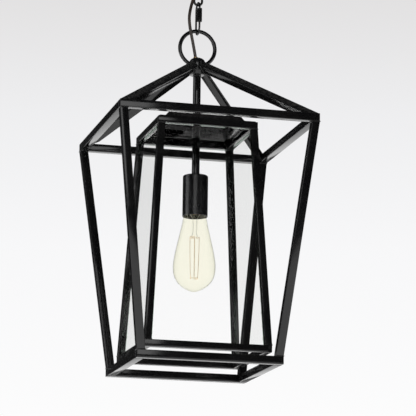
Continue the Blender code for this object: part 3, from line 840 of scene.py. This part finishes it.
def panes():
    s = frameSet
    low = s["cageBase"] + s["cageTube"] + 2 * sliver
    high = s["cageTop"] - s["cageTube"] - 2 * sliver
    for end, x, y in (("front", 0, -1), ("back", 0, 1), ("left", -1, 0), ("right", 1, 0)):
        outLow, outHigh = (spread(h) - paneSet["setBack"] for h in (low, high))
        wideLow, wideHigh = (spread(h) - s["cageTube"] - 2 * sliver for h in (low, high))
        thick = paneSet["thickness"]
        tall = drop(high) - drop(low)
        size = (2 * wideLow, thick, tall) if y else (thick, 2 * wideLow, tall)
        deselectAll()
        bpy.ops.mesh.primitive_cube_add(
            size=1, location=(x * outLow, y * outLow, drop((low + high) / 2)), scale=size
        )
        made = take("pane" + end.capitalize(), finishes["paneGlass"])
        made.data.materials.append(finishes["paneEdge"])
        bpy.ops.object.transform_apply(location=True, rotation=False, scale=True)
        # the top is drawn in to the cage's width there and leans inward with it
        pick(made, lambda face: face.normal.z > 0.9)
        share = wideHigh / wideLow
        pivot = (x * outLow, y * outLow, drop(high))
        bpy.ops.transform.resize(value=(share if y else 1, 1 if y else share, 1), center_override=pivot)
        bpy.ops.transform.translate(value=(x * (outHigh - outLow), y * (outHigh - outLow), 0))
        # the four narrow faces are the polished edges
        pick(made, lambda face: abs(face.normal.y if y else face.normal.x) < 0.9)
        made.active_material_index = 1
        bpy.ops.object.material_slot_assign()
        leaveEdit()
        rounded(made, paneSet["polish"], 2)
        settle(made, 20)
        place(made, "lantern", "clear_glass", "glass_" + end)


def sealantBeads():
    # a line of clear sealant dots holds each pane to the posts from inside
    s = frameSet
    low, high = 0.040, 0.347
    for corner, side, front in corners:
        short = "".join(word.capitalize() for word in corner.split("_"))
        for label, alongX in (("Side", False), ("Face", True)):
            parts = []
            for k in range(paneSet["dots"]):
                height = low + (high - low) * k / (paneSet["dots"] - 1)
                out = spread(height)
                edge = out - s["cageTube"] - 0.0002
                pane = out - paneSet["setBack"] - paneSet["thickness"] / 2 - 0.0002
                x, y = (side * edge, front * pane) if alongX else (side * pane, front * edge)
                deselectAll()
                bpy.ops.mesh.primitive_uv_sphere_add(
                    segments=10, ring_count=6, radius=paneSet["dotSize"],
                    location=(x, y, drop(height)), scale=(1, 1, 2.6)
                )
                parts.append(bpy.context.object)
            deselectAll()
            for dot in parts:
                dot.select_set(True)
            bpy.context.view_layer.objects.active = parts[0]
            bpy.ops.object.join()
            made = take(f"sealant{short}{label}", finishes["sealant"])
            settle(made, 60)
            place(made, "lantern", "clear_glass")


panes()
sealantBeads()
print("panes and sealant made")


# cap, its washer and nuts

capSet = {
    "edgeHalf": 0.0735, "slopeHalf": 0.0620, "topHalf": 0.0550, "rise": 0.0128, "sheet": 0.0010,
    "fold": 0.0009, "hole": 0.0064, "nutFlats": 0.0180, "nutHeight": 0.0047, "washer": 0.0111,
}


def cageCap():
    s = capSet
    base = drop(frameSet["cageTop"]) + sliver + s["sheet"]
    top = drop(frameSet["cageTop"] + s["rise"])
    deselectAll()
    bpy.ops.mesh.primitive_plane_add(size=2 * s["edgeHalf"], location=(0, 0, base))
    made = take("cageCap", finishes["blackPaint"])
    bpy.ops.object.mode_set(mode="EDIT")
    bpy.ops.mesh.select_mode(type="FACE")
    bpy.ops.mesh.select_all(action="SELECT")
    bpy.ops.mesh.inset(thickness=s["edgeHalf"] - s["slopeHalf"])
    bpy.ops.mesh.inset(thickness=s["slopeHalf"] - s["topHalf"])
    bpy.ops.transform.translate(value=(0, 0, top - base))
    bpy.ops.mesh.inset(thickness=0.0005)
    leaveEdit()
    folds = made.modifiers.new("folds", "BEVEL")
    folds.width = s["fold"]
    folds.segments = 3
    folds.limit_method = "ANGLE"
    folds.angle_limit = math.radians(12)
    sheet = made.modifiers.new("sheet", "SOLIDIFY")
    sheet.thickness = s["sheet"]
    sheet.offset = -1
    settle(made, 25)
    cutWith(made, drillRod((0, 0, top - 0.01), (0, 0, top + 0.01), s["hole"]))
    place(made, "lantern", "black_paint", "cage_cap")
    washerLow = top + sliver
    washer = turned(
        "capWasher",
        [(s["hole"], washerLow + 0.0002), (s["hole"] + 0.0002, washerLow), (s["washer"] - 0.0004, washerLow)]
        + [
            (s["washer"], washerLow + 0.0004), (s["washer"], washerLow + 0.0009),
            (s["washer"] - 0.0003, washerLow + 0.0012)
        ]
        + [(s["hole"] + 0.0002, washerLow + 0.0012), (s["hole"], washerLow + 0.0010)],
        finishes["blackPaint"], closed=True,
    )
    place(settle(washer), "lantern", "black_paint", "cap_washer")
    upperLow = washerLow + 0.0012 + sliver
    upper = hexPiece(
        "capNutUpper", upperLow, upperLow + s["nutHeight"] - sliver, s["nutFlats"], s["hole"],
        finishes["blackPaint"]
    )
    place(settle(upper, 28), "lantern", "black_paint", "cap_nut_upper")
    under = top - s["sheet"] - sliver
    lower = hexPiece("capNutLower", under - 0.0050, under, s["nutFlats"], s["hole"], finishes["blackPaint"])
    place(settle(lower, 28), "lantern", "black_paint", "cap_nut_lower")


cageCap()
print("cap made")


# hub, stem and ring

hubSet = {
    "radius": 0.0120, "bottom": 0.4545, "shoulder": 0.4750, "top": 0.4822,
    "crossHole": 0.0050, "crossHeight": 0.4710, "wireHole": 0.0029, "wireX": -0.0025,
    "seatTop": 0.4620, "seatRadius": 0.0064,
}
ringSet = {
    "radius": 0.0275, "wire": 0.0029, "centre": 0.4970, "weldTurn": 0.35, "weldReach": 0.0038,
    "weldSwell": 0.00022
}
stemSet = {
    "bore": 0.0044, "end": 0.0058, "plain": 0.0059, "thread": 0.0061, "bottom": 0.2905, "top": 0.4620,
    # each threaded stretch, and the plain one above it
    "stretches": (
        (0.2915, 0.3000, (0.3002, 0.3560)), (0.3565, 0.3960, (0.3965, 0.4520)), (0.4525, 0.4615, ()),
    ),
}


def hub():
    s = hubSet
    r = s["radius"]
    rows = [
        (0.0080, s["bottom"]), (0.0108, s["bottom"]), (r - 0.0004, s["bottom"] + 0.0003),
        (r, s["bottom"] + 0.0010)
    ]
    rows += [(r, s["shoulder"])]
    for k in range(1, 9):
        # the dome
        angle = math.radians(10 * k)
        rows.append((
            r * math.cos(angle) ** 0.9, s["shoulder"] + (s["top"] - s["shoulder"]) * math.sin(angle)
        ))
    rows.append((0.0010, s["top"]))
    made = turned("hub", [(radius, drop(height)) for radius, height in rows], finishes["blackPaint"], 96)
    pick(made, lambda vertex: True, "VERT")
    bpy.ops.mesh.remove_doubles(threshold=0.000001)
    bpy.ops.mesh.normals_make_consistent(inside=False)
    leaveEdit()
    z = drop(s["crossHeight"])
    cutWith(
        made,
        drillRod((0, 0, drop(s["bottom"]) - 0.01), (0, 0, drop(s["seatTop"]) + sliver), s["seatRadius"], 40)
    )
    cutWith(made, drillRod((s["wireX"], 0, z), (s["wireX"], 0, drop(s["top"]) + 0.01), s["wireHole"]))
    # the hole across comes last, because a cut made after it goes wrong
    cutWith(made, drillRod((-0.02, 0, z), (0.02, 0, z), s["crossHole"], 44))
    rounded(made, 0.0004, 2)
    settle(made, 30)
    place(made, "lantern", "black_paint", "hub")
    # a brass bush lines the wire hole
    top = drop(s["top"])
    bush = turned(
        "hubBush",
        [(0.00250, top - 0.0060), (0.00280, top - 0.0060), (0.00280, top - 0.0001), (0.0036, top + 0.0001)]
        + [(0.0036, top + 0.0006), (0.0033, top + 0.0009), (0.0027, top + 0.0009), (0.00250, top + 0.0005)],
        finishes["brass"], 40, (s["wireX"], 0), closed=True,
    )
    place(settle(bush), "lantern", "brass")


def ring():
    s = ringSet
    middle = drop(s["centre"])
    deselectAll()
    bpy.ops.mesh.primitive_torus_add(
        major_radius=s["radius"], minor_radius=s["wire"], major_segments=120, minor_segments=24,
        location=(0, 0, middle), rotation=(math.radians(90), 0, 0),
    )
    made = take("hangingRing", finishes["blackPaint"])
    bpy.ops.object.transform_apply(location=True, rotation=True, scale=True)
    # the ring's ends are welded on its right-hand side, which leaves a low swelling
    turn = s["weldTurn"]
    spot = Vector((s["radius"] * math.cos(turn), 0, middle + s["radius"] * math.sin(turn)))
    pick(made, lambda vertex: (vertex.co - spot).length < s["weldReach"], "VERT")
    bpy.ops.transform.shrink_fatten(value=s["weldSwell"])
    leaveEdit()
    place(settle(made, 60), "ring", "black_paint", "hanging_ring")


def stem():
    # threaded at both ends and through the cap, and plain between
    s = stemSet
    rows = [(s["bore"], drop(s["bottom"])), (s["end"], drop(s["bottom"]))]
    for threadLow, threadHigh, plain in s["stretches"]:
        rows += threaded(drop(threadLow), drop(threadHigh), s["thread"], 0.0004, 0.0010)
        rows += [(s["plain"], drop(height)) for height in plain]
    rows += [(s["end"], drop(s["top"])), (s["bore"], drop(s["top"]))]
    made = turned("stem", rows, finishes["blackPaint"], 48, closed=True)
    place(settle(made, 40), "lantern", "black_paint", "stem")


hub()
ring()
stem()
print("hub, ring and stem made")


# chain links and quick link

linkSet = {
    "wire": 0.0018, "chainWidth": 0.0160, "chainLength": 0.0348, "lowerBottom": 0.5642,
    "quickWire": 0.0015, "quickWidth": 0.0246, "quickLength": 0.0528, "quickBottom": 0.5183,
    "sleeveLift": 0.0184, "sleeveLength": 0.0215, "sleeveFlats": 0.0068,
    "inSleeve": 0.0060, "opening": 0.0040,
}


def longLink(name, bottom, width, length, wire, alongY, cuts=()):
    # a ring pulled apart into a long link, with its straight legs cut where cuts say
    radius = width / 2 - wire
    low = bottom + wire + radius
    high = bottom + length - wire - radius
    deselectAll()
    bpy.ops.mesh.primitive_torus_add(
        major_radius=radius, minor_radius=wire, major_segments=72, minor_segments=20, location=(0, 0, low),
        rotation=(math.radians(90), 0, math.radians(90) if alongY else 0),
    )
    made = take(name, finishes["blackPaint"])
    bpy.ops.object.transform_apply(location=True, rotation=True, scale=True)
    pick(made, lambda vertex: vertex.co.z > low + 0.00001, "VERT")
    bpy.ops.transform.translate(value=(0, 0, high - low))
    for height in cuts:
        bpy.ops.mesh.select_all(action="SELECT")
        bpy.ops.mesh.bisect(plane_co=(0, 0, height), plane_no=(0, 0, 1))
    return made


def chainLink(name, node, body, bottom, alongY):
    s = linkSet
    middle = bottom + s["chainLength"] / 2
    cuts = [middle + step * 0.0007 for step in (-3, -2, -1, 0, 1, 2, 3)]
    made = longLink(name, bottom, s["chainWidth"], s["chainLength"], s["wire"], alongY, cuts)
    # the butt weld in one leg
    axis = 1 if alongY else 0
    for reach, swell in ((0.0016, 0.00012), (0.0009, 0.00014)):
        pick(made, lambda vertex: vertex.co[axis] > 0 and abs(vertex.co.z - middle) < reach, "VERT")
        bpy.ops.transform.shrink_fatten(value=swell)
    leaveEdit()
    place(settle(made, 60), body, "black_paint", node)


def quickLink():
    s = linkSet
    bottom = drop(s["quickBottom"])
    sleeveLow = bottom + s["sleeveLift"]
    sleeveHigh = sleeveLow + s["sleeveLength"]
    gapLow = sleeveHigh - s["inSleeve"]
    gapHigh = gapLow + s["opening"]
    made = longLink(
        "quickLink", bottom, s["quickWidth"], s["quickLength"], s["quickWire"], True, (gapLow, gapHigh)
    )
    legY = -(s["quickWidth"] / 2 - s["quickWire"])
    # the near leg is open inside the sleeve
    pick(
        made, lambda face: face.calc_center_median().y < 0 and gapLow < face.calc_center_median().z < gapHigh
    )
    bpy.ops.mesh.delete(type="FACE")
    bpy.ops.mesh.select_mode(type="EDGE")
    bpy.ops.mesh.select_all(action="DESELECT")
    bpy.ops.mesh.select_non_manifold()
    bpy.ops.mesh.fill()
    leaveEdit()
    rounded(made, 0.0002, 2)
    place(settle(made, 60), "connector", "black_paint", "quick_link")
    # threads on both stubs
    for label, low, high in (
        ("Lower", sleeveLow + 0.0030, gapLow - 0.0003), ("Upper", gapHigh + 0.0003, sleeveHigh + 0.0012)
    ):
        rows = [(0.0012, low)] + threaded(low, high, 0.00172, 0.00028, 0.0007) + [(0.0012, high)]
        thread = turned("quickThread" + label, rows, finishes["zinc"], 32, (0, legY))
        place(settle(thread, 40), "connector", "black_paint")
    return legY, sleeveLow, sleeveHigh


def quickSleeve(legY, low, high):
    s = linkSet
    made = hexPiece(
        "quickLinkSleeve", low, high, s["sleeveFlats"], 0.0018, finishes["blackPaint"], (0, legY), 0.00015
    )
    # a turned waist near each end
    place(settle(made, 28), "connector_sleeve", "black_paint", "quick_link_sleeve")
    for label, z in (("Low", low + 0.0016), ("High", high - 0.0016)):
        band = turned(
            "sleeveBand" + label,
            [(0.0022, z - 0.0006), (0.0035, z - 0.0006), (0.0037, z - 0.0003), (0.0037, z + 0.0003)]
            + [(0.0035, z + 0.0006), (0.0022, z + 0.0006)],
            finishes["blackPaint"], 36, (0, legY), closed=True,
        )
        place(settle(band), "connector_sleeve", "black_paint")


lowerBottom = drop(linkSet["lowerBottom"])
upperBottom = lowerBottom + linkSet["chainLength"] - 4 * linkSet["wire"] - sliver
chainLink("lowerChainLink", "lower_chain_link", "lower_link", lowerBottom, False)
chainLink("upperChainLink", "upper_chain_link", "upper_link", upperBottom, True)
quickSleeve(*quickLink())
print("chain made")


# ceiling side: strap, stud, loop, canopy and collar

mountSet = {
    "strap": (0.100, 0.018, 0.0020), "strapCorner": 0.0035, "screwSpacing": 0.078, "groundX": 0.020,
    "studRadius": 0.0040, "studLength": 0.0235,
    "bossRadius": 0.0131, "bossTop": -0.0080, "bossBottom": -0.0300,
    "loopRadius": 0.0110, "loopWire": 0.0020, "loopCentre": -0.0412,
    "canopyRadius": 0.0635, "canopyDepth": 0.0220, "canopyHole": 0.0139, "canopySheet": 0.0012,
    "collarRadius": 0.0190, "collarHeight": 0.0080, "knurls": 60,
}


def strapAndStud():
    s = mountSet
    length, width, thick = s["strap"]
    deselectAll()
    bpy.ops.mesh.primitive_cube_add(size=1, location=(0, 0, -thick / 2), scale=(length, width, thick))
    made = take("mountingStrap", finishes["zinc"])
    bpy.ops.object.transform_apply(location=True, rotation=False, scale=True)
    pick(made, lambda edge: abs(edge.verts[0].co.z - edge.verts[1].co.z) > thick / 2, "EDGE")
    bpy.ops.mesh.bevel(offset=s["strapCorner"], segments=6, affect="EDGES")
    leaveEdit()
    for x, radius in (
        (0, 0.0043), (-s["screwSpacing"] / 2, 0.0024), (s["screwSpacing"] / 2, 0.0024), (s["groundX"], 0.0021)
    ):
        cutWith(made, drillRod((x, 0, -0.01), (x, 0, 0.01), radius))
    for side in (-1, 1):
        # a hole for other box sizes
        cutWith(made, drillRod((side * 0.0300, 0, -0.01), (side * 0.0300, 0, 0.01), 0.0022))
    rounded(made, 0.0002, 2)
    place(settle(made), "ceiling_mount", "zinc", "mounting_strap")
    end = -s["studLength"]
    rows = [(0.0033, end)]
    rows += threaded(end + 0.0005, -0.0004, s["studRadius"], 0.00045, 0.0010)
    rows += [(0.0036, 0.0)]
    place(
        settle(turned("ceilingStud", rows, finishes["zinc"], 40), 40), "ceiling_mount", "zinc", "ceiling_stud"
    )
    top = -thick - sliver
    nut = hexPiece("studNut", top - 0.0043, top, 0.0130, 0.0043, finishes["zinc"])
    place(settle(nut, 28), "ceiling_mount", "zinc", "stud_nut")
    x = s["groundX"]
    rows = [
        (0.0030, top - 0.0025), (0.0036, top - 0.0021), (0.0040, top - 0.0013), (0.0040, top), (0.0018, top)
    ]
    rows += threaded(top + 0.0001, -sliver, 0.0018, 0.0002, 0.0007)
    screw = turned("groundScrew", rows, finishes["greenScrew"], 36, (x, 0))
    for turn in (0, 90):
        deselectAll()
        bpy.ops.mesh.primitive_cube_add(
            size=1, location=(x, 0, top - 0.0025), rotation=(0, 0, math.radians(turn)),
            scale=(0.0044, 0.0008, 0.0022)
        )
        cutWith(screw, bpy.context.object)
    place(settle(screw), "ceiling_mount", "green_screw", "ground_screw")


def hangingLoop():
    s = mountSet
    r, top, low = s["bossRadius"], s["bossTop"], s["bossBottom"]
    rows = [(0.0040, low), (r - 0.0015, low), (r - 0.0004, low + 0.0006)]
    rows += threaded(low + 0.0012, top - 0.0040, r, 0.0004, 0.0014)
    rows += [(r - 0.0005, top - 0.0030), (r - 0.0005, top - 0.0010), (r - 0.0015, top), (0.0040, top)]
    boss = turned("hangingLoop", rows, finishes["blackPaint"], 72)
    deselectAll()
    bpy.ops.mesh.primitive_torus_add(
        major_radius=s["loopRadius"], minor_radius=s["loopWire"], major_segments=80, minor_segments=20,
        location=(0, 0, s["loopCentre"]), rotation=(math.radians(90), 0, 0),
    )
    eye = bpy.context.object
    cutWith(boss, eye, "UNION")
    cutWith(boss, drillRod((0, 0, -0.0240), (0, 0, 0.01), 0.0043))
    cutWith(boss, drillRod((-0.0055, -0.0075, -0.040), (-0.0055, -0.0075, 0.01), 0.0027))
    place(settle(boss, 40), "ceiling_mount", "black_paint", "hanging_loop")


def canopyCover():
    s = mountSet
    sheet = s["canopySheet"]
    outer = [
        (s["canopyRadius"] - 0.0004, -0.0002), (s["canopyRadius"], -0.0010),
        (s["canopyRadius"] - 0.0002, -0.0034)
    ]
    for k in range(1, 12):
        angle = math.radians(90 * k / 12)
        outer.append((
            0.0180 + (s["canopyRadius"] - 0.0184) * math.cos(angle) ** 0.80,
            -0.0034 - 0.0178 * math.sin(angle) ** 1.1
        ))
    outer += [
        (0.0185, -0.0214), (s["canopyHole"] + 0.0008, -s["canopyDepth"]),
        (s["canopyHole"], -s["canopyDepth"] + 0.0003)
    ]
    inner = [
        (radius - (sheet if k < 8 else 0.0), z + (sheet if k >= 3 else 0.0))
        for k, (radius, z) in enumerate(outer)
    ]
    inner[0] = (outer[0][0] - sheet + 0.0002, outer[0][1])
    inner[-1] = (s["canopyHole"], -s["canopyDepth"] + sheet)
    made = turned("canopyCover", outer + list(reversed(inner)), finishes["blackPaint"], 128, closed=True)
    place(settle(made, 35), "canopy_cover", "black_paint", "canopy")


def screwCollar():
    s = mountSet
    top = -s["canopyDepth"] - sliver
    low = top - s["collarHeight"]
    inner = s["bossRadius"] + sliver
    r = s["collarRadius"]
    rows = [
        (inner, top), (inner, low + 0.0004), (inner + 0.0004, low), (0.0160, low), (r - 0.0008, low + 0.0016)
    ]
    rows += [(r, low + 0.0024), (r, top - 0.0012), (r - 0.0006, top - 0.0003), (r - 0.0012, top)]
    made = turned("screwCollar", rows, finishes["blackPaint"], s["knurls"] * 2, closed=True)
    # every other line of the rim is drawn in, for a grip
    def inGroove(vertex):
        turn = math.atan2(vertex.co.y, vertex.co.x) / math.tau * s["knurls"] * 2
        return vertex.co.xy.length > r - 0.0001 and round(turn) % 2 == 1
    bpy.context.view_layer.objects.active = made
    pick(made, inGroove, "VERT")
    bpy.ops.transform.resize(value=(0.972, 0.972, 1), center_override=(0, 0, (top + low) / 2))
    leaveEdit()
    place(settle(made, 22), "collar", "black_paint", "screw_collar")


strapAndStud()
hangingLoop()
canopyCover()
screwCollar()
print("ceiling side made")


# socket cup and lampholder

socketSet = {
    "radius": 0.0191, "wall": 0.0011, "bottom": 0.2340, "top": 0.2973, "hole": 0.0064, "corner": 0.0022
}


def socket():
    s = socketSet
    top, low, r = drop(s["top"]), drop(s["bottom"]), s["radius"]
    inner = r - s["wall"]
    rows = [(s["hole"], top - 0.0003), (s["hole"] + 0.0003, top)]
    for k in range(7):
        angle = math.radians(90 - 15 * k)
        rows.append((
            r - s["corner"] + s["corner"] * math.cos(angle), top - s["corner"] + s["corner"] * math.sin(angle)
        ))
    rows += [
        (r, low + 0.0016), (r + 0.00005, low + 0.0012), (r, low + 0.0004), (r - 0.0004, low),
        (inner + 0.0002, low)
    ]
    rows += [(inner, low + 0.0003), (inner, top - 0.0024), (s["hole"], top - 0.0024)]
    cup = turned("socketCup", rows, finishes["satinBlack"], 96, closed=True)
    place(settle(cup, 35), "lantern", "satin_black", "socket_cup")
    body = inner - sliver
    low, high, floorZ = drop(0.2420), drop(0.2870), drop(0.2715)
    rows = [
        (0.0145, floorZ - 0.0004), (0.0145, low + 0.0006), (0.0150, low), (body - 0.0010, low),
        (body, low + 0.0010)
    ]
    rows += [
        (body, high - 0.0030), (body - 0.0008, high - 0.0010), (body - 0.0030, high), (0.0030, high),
        (0.0030, floorZ)
    ]
    rows += [(0.0140, floorZ)]
    holder = turned("lampholderBody", rows, finishes["porcelain"], 72, closed=True)
    place(settle(holder, 35), "lantern", "ceramic", "lampholder_body")
    rows = [
        (0.0142, drop(0.2680)), (0.0142, low - sliver), (0.0166, low - sliver), (0.0168, low - 0.0005),
        (0.0166, low - 0.0008)
    ]
    rows += [(0.0140, low - 0.0008)]
    rows += [(radius, z) for radius, z in threaded(low - 0.0002, drop(0.2676), 0.0141, 0.0004, 0.0036)][1:]
    shell = turned("lampholderShell", rows, finishes["brass"], 64, closed=True)
    place(settle(shell, 40), "lantern", "brass", "lampholder_shell")
    contact = turned(
        "lampholderContact",
        [
            (0.0016, drop(0.2662)), (0.0025, drop(0.2668)), (0.0036, drop(0.2680)), (0.0045, drop(0.2700)),
            (0.0045, drop(0.2712)), (0.0030, drop(0.2712))
        ],
        finishes["brass"], 32,
    )
    place(settle(contact), "lantern", "brass", "lampholder_contact")


socket()
print("socket made")


# bulb

bulbSet = {
    "outline": (
        (0.2460, 0.0118), (0.2396, 0.0118), (0.2386, 0.0135), (0.2366, 0.0160), (0.2335, 0.0174),
        (0.2210, 0.0197), (0.2000, 0.0245), (0.1800, 0.0290), (0.1660, 0.0314), (0.1560, 0.0320),
        (0.1470, 0.0313), (0.1390, 0.0287),
        (0.1325, 0.0245), (0.1270, 0.0190), (0.1220, 0.0110), (0.1195, 0.0045), (0.1186, 0.0),
    ),
    "wall": 0.0007, "shellRadius": 0.0131, "strands": 6, "topSpread": 0.0080, "lowSpread": 0.0062,
    "topHeight": 0.2020, "lowHeight": 0.1400,
}


def bulbGlass():
    # the outline is eased through its own points, and the blown glass has a sealed tip
    points = [Vector((radius, 0, height)) for height, radius in bulbSet["outline"]]
    line = smoothLine(points, 0.0016)
    rows = [(max(p.x, 0.0002), drop(p.z)) for p in line[:-1]] + [(0, drop(bulbSet["outline"][-1][0]))]
    made = turned("bulbGlass", rows, finishes["amberGlass"], 96)
    # open at the neck, where it is cemented into its base
    pick(made, lambda face: face.normal.z > 0.95 and face.calc_center_median().z > drop(0.2450))
    bpy.ops.mesh.delete(type="ONLY_FACE")
    leaveEdit()
    wall = made.modifiers.new("wall", "SOLIDIFY")
    wall.thickness = bulbSet["wall"]
    wall.offset = -1
    settle(made, 80)
    place(made, "bulb", "amber_glass", "bulb_glass")


def bulbBase():
    r = bulbSet["shellRadius"]
    low = drop(0.2400)
    rows = [(0.0122, low), (0.0127, low), (0.0130, low + 0.0006)]
    for turn in range(4):
        # four rolled turns
        base = low + 0.0024 + turn * 0.0036
        rows += [
            (r - 0.0008, base), (r - 0.0004, base + 0.0007), (r, base + 0.0014), (r, base + 0.0020),
            (r - 0.0004, base + 0.0028)
        ]
    rows += [
        (r - 0.0008, drop(0.2578)), (r - 0.0004, drop(0.2592)), (r - 0.0010, drop(0.2600)),
        (0.0100, drop(0.2604))
    ]
    rows += [(0.0100, drop(0.2596)), (0.0118, drop(0.2590)), (0.0122, drop(0.2580))]
    shell = turned("bulbBaseShell", rows, finishes["brass"], 72, closed=True)
    place(settle(shell, 40), "bulb", "brass", "bulb_base")
    insulator = turned(
        "bulbInsulator",
        [
            (0.0096, drop(0.2598)), (0.0098, drop(0.2606)), (0.0078, drop(0.2628)), (0.0056, drop(0.2636)),
            (0.0048, drop(0.2636))
        ],
        finishes["blackGlass"], 48,
    )
    place(settle(insulator), "bulb", "brass")
    tip = turned(
        "bulbTip",
        [
            (0.0046, drop(0.2634)), (0.0046, drop(0.2640)), (0.0040, drop(0.2648)), (0.0022, drop(0.26515)),
            (0, drop(0.2652))
        ],
        finishes["solder"], 40,
    )
    place(settle(tip), "bulb", "brass")


def glassMount():
    # the pressed glass stem, flared into the neck and drawn out to a thin rod
    rows = [
        (0.0095, 0.2420), (0.0102, 0.2412), (0.0088, 0.2392), (0.0066, 0.2362), (0.0052, 0.2320),
        (0.0045, 0.2270)
    ]
    rows += [
        (0.0044, 0.2210), (0.0040, 0.2150), (0.0036, 0.2080), (0.0040, 0.2048), (0.0040, 0.2012),
        (0.0026, 0.1994)
    ]
    rows += [
        (0.0013, 0.1980), (0.0012, 0.1700), (0.0012, 0.1430), (0.0020, 0.1416), (0.0024, 0.1400),
        (0.0020, 0.1384)
    ]
    rows += [(0.0010, 0.1377), (0, 0.1375)]
    made = turned(
        "glassMount", [(radius, drop(height)) for radius, height in rows], finishes["mountGlass"], 40
    )
    # the press flattens the middle of the stem
    pick(made, lambda vertex: drop(0.2045) < vertex.co.z < drop(0.2280), "VERT")
    bpy.ops.transform.resize(value=(1.25, 0.62, 1), center_override=(0, 0, drop(0.2160)))
    leaveEdit()
    place(settle(made, 50), "bulb", "clear_glass", "bulb_inner_stem")


def around(strand, spread, height, shift=0.0):
    angle = math.tau * (strand + 0.25) / bulbSet["strands"] + shift
    return Vector((spread * math.cos(angle), spread * math.sin(angle), drop(height)))


def filament():
    s = bulbSet
    strands = s["strands"]
    route = []
    for strand in range(strands):
        ends = (s["topHeight"], s["lowHeight"]) if strand % 2 == 0 else (s["lowHeight"], s["topHeight"])
        spreads = [s["topSpread"] if height > 0.17 else s["lowSpread"] for height in ends]
        start, end = around(strand, spreads[0], ends[0]), around(strand, spreads[1], ends[1])
        for k in range(13):
            # each hairpin bows out a little between its hooks
            share = k / 12
            bow = 1 + 0.06 * math.sin(math.pi * share)
            spot = start.lerp(end, share)
            route.append(Vector((spot.x * bow, spot.y * bow, spot.z)))
        if strand < strands - 1:
            # round the hook to the next hairpin
            nextSpot = around(strand + 1, spreads[1], ends[1])
            lift = 0.0008 if ends[1] > 0.17 else -0.0008
            for share in (0.25, 0.5, 0.75):
                spot = end.lerp(nextSpot, share)
                route.append(spot + Vector((0, 0, lift * math.sin(math.pi * share))))
    coil = wireAlong("bulbFilament", route, 0.00026, finishes["copperWire"], resolution=2)
    place(settle(coil, 60), "bulb", "filament_wire", "bulb_filament")
    # hooks at the top and bottom buttons, and the two lead-in wires
    for label, height, spread, centre in (
        ("Top", s["topHeight"], s["topSpread"], 0.2030), ("Low", s["lowHeight"], s["lowSpread"], 0.1400)
    ):
        for k in range(strands):
            tip = around(k, spread, height)
            tip.z += 0.0004 if label == "Top" else -0.0004
            root = Vector((tip.x * 0.16, tip.y * 0.16, drop(centre)))
            elbow = root.lerp(tip, 0.55) + Vector((0, 0, -0.0016 if label == "Top" else 0.0012))
            hook = wireAlong(
                f"hook{label}{k + 1}", [root, root.lerp(elbow, 0.5), elbow, elbow.lerp(tip, 0.6), tip],
                0.00017, finishes["copperWire"], resolution=2
            )
            place(settle(hook, 60), "bulb", "filament_wire")
    for label, side in (("Left", -1), ("Right", 1)):
        lead = wireAlong(
            "leadIn" + label,
            [
                Vector((side * 0.0104, 0, drop(0.2440))), Vector((side * 0.0080, 0, drop(0.2385))),
                Vector((side * 0.0030, 0, drop(0.2300)))
            ]
            + [
                Vector((side * 0.0022, 0, drop(0.2200))), Vector((side * 0.0026, 0.0004, drop(0.2090))),
                Vector((side * 0.0048, 0.0010, drop(0.2040)))
            ]
            + [around(0 if side > 0 else 3, s["topSpread"], s["topHeight"] + 0.0006)],
            0.00024, finishes["solder"], resolution=2,
        )
        place(settle(lead, 60), "bulb", "filament_wire")


bulbGlass()
bulbBase()
glassMount()
filament()
print("bulb made")
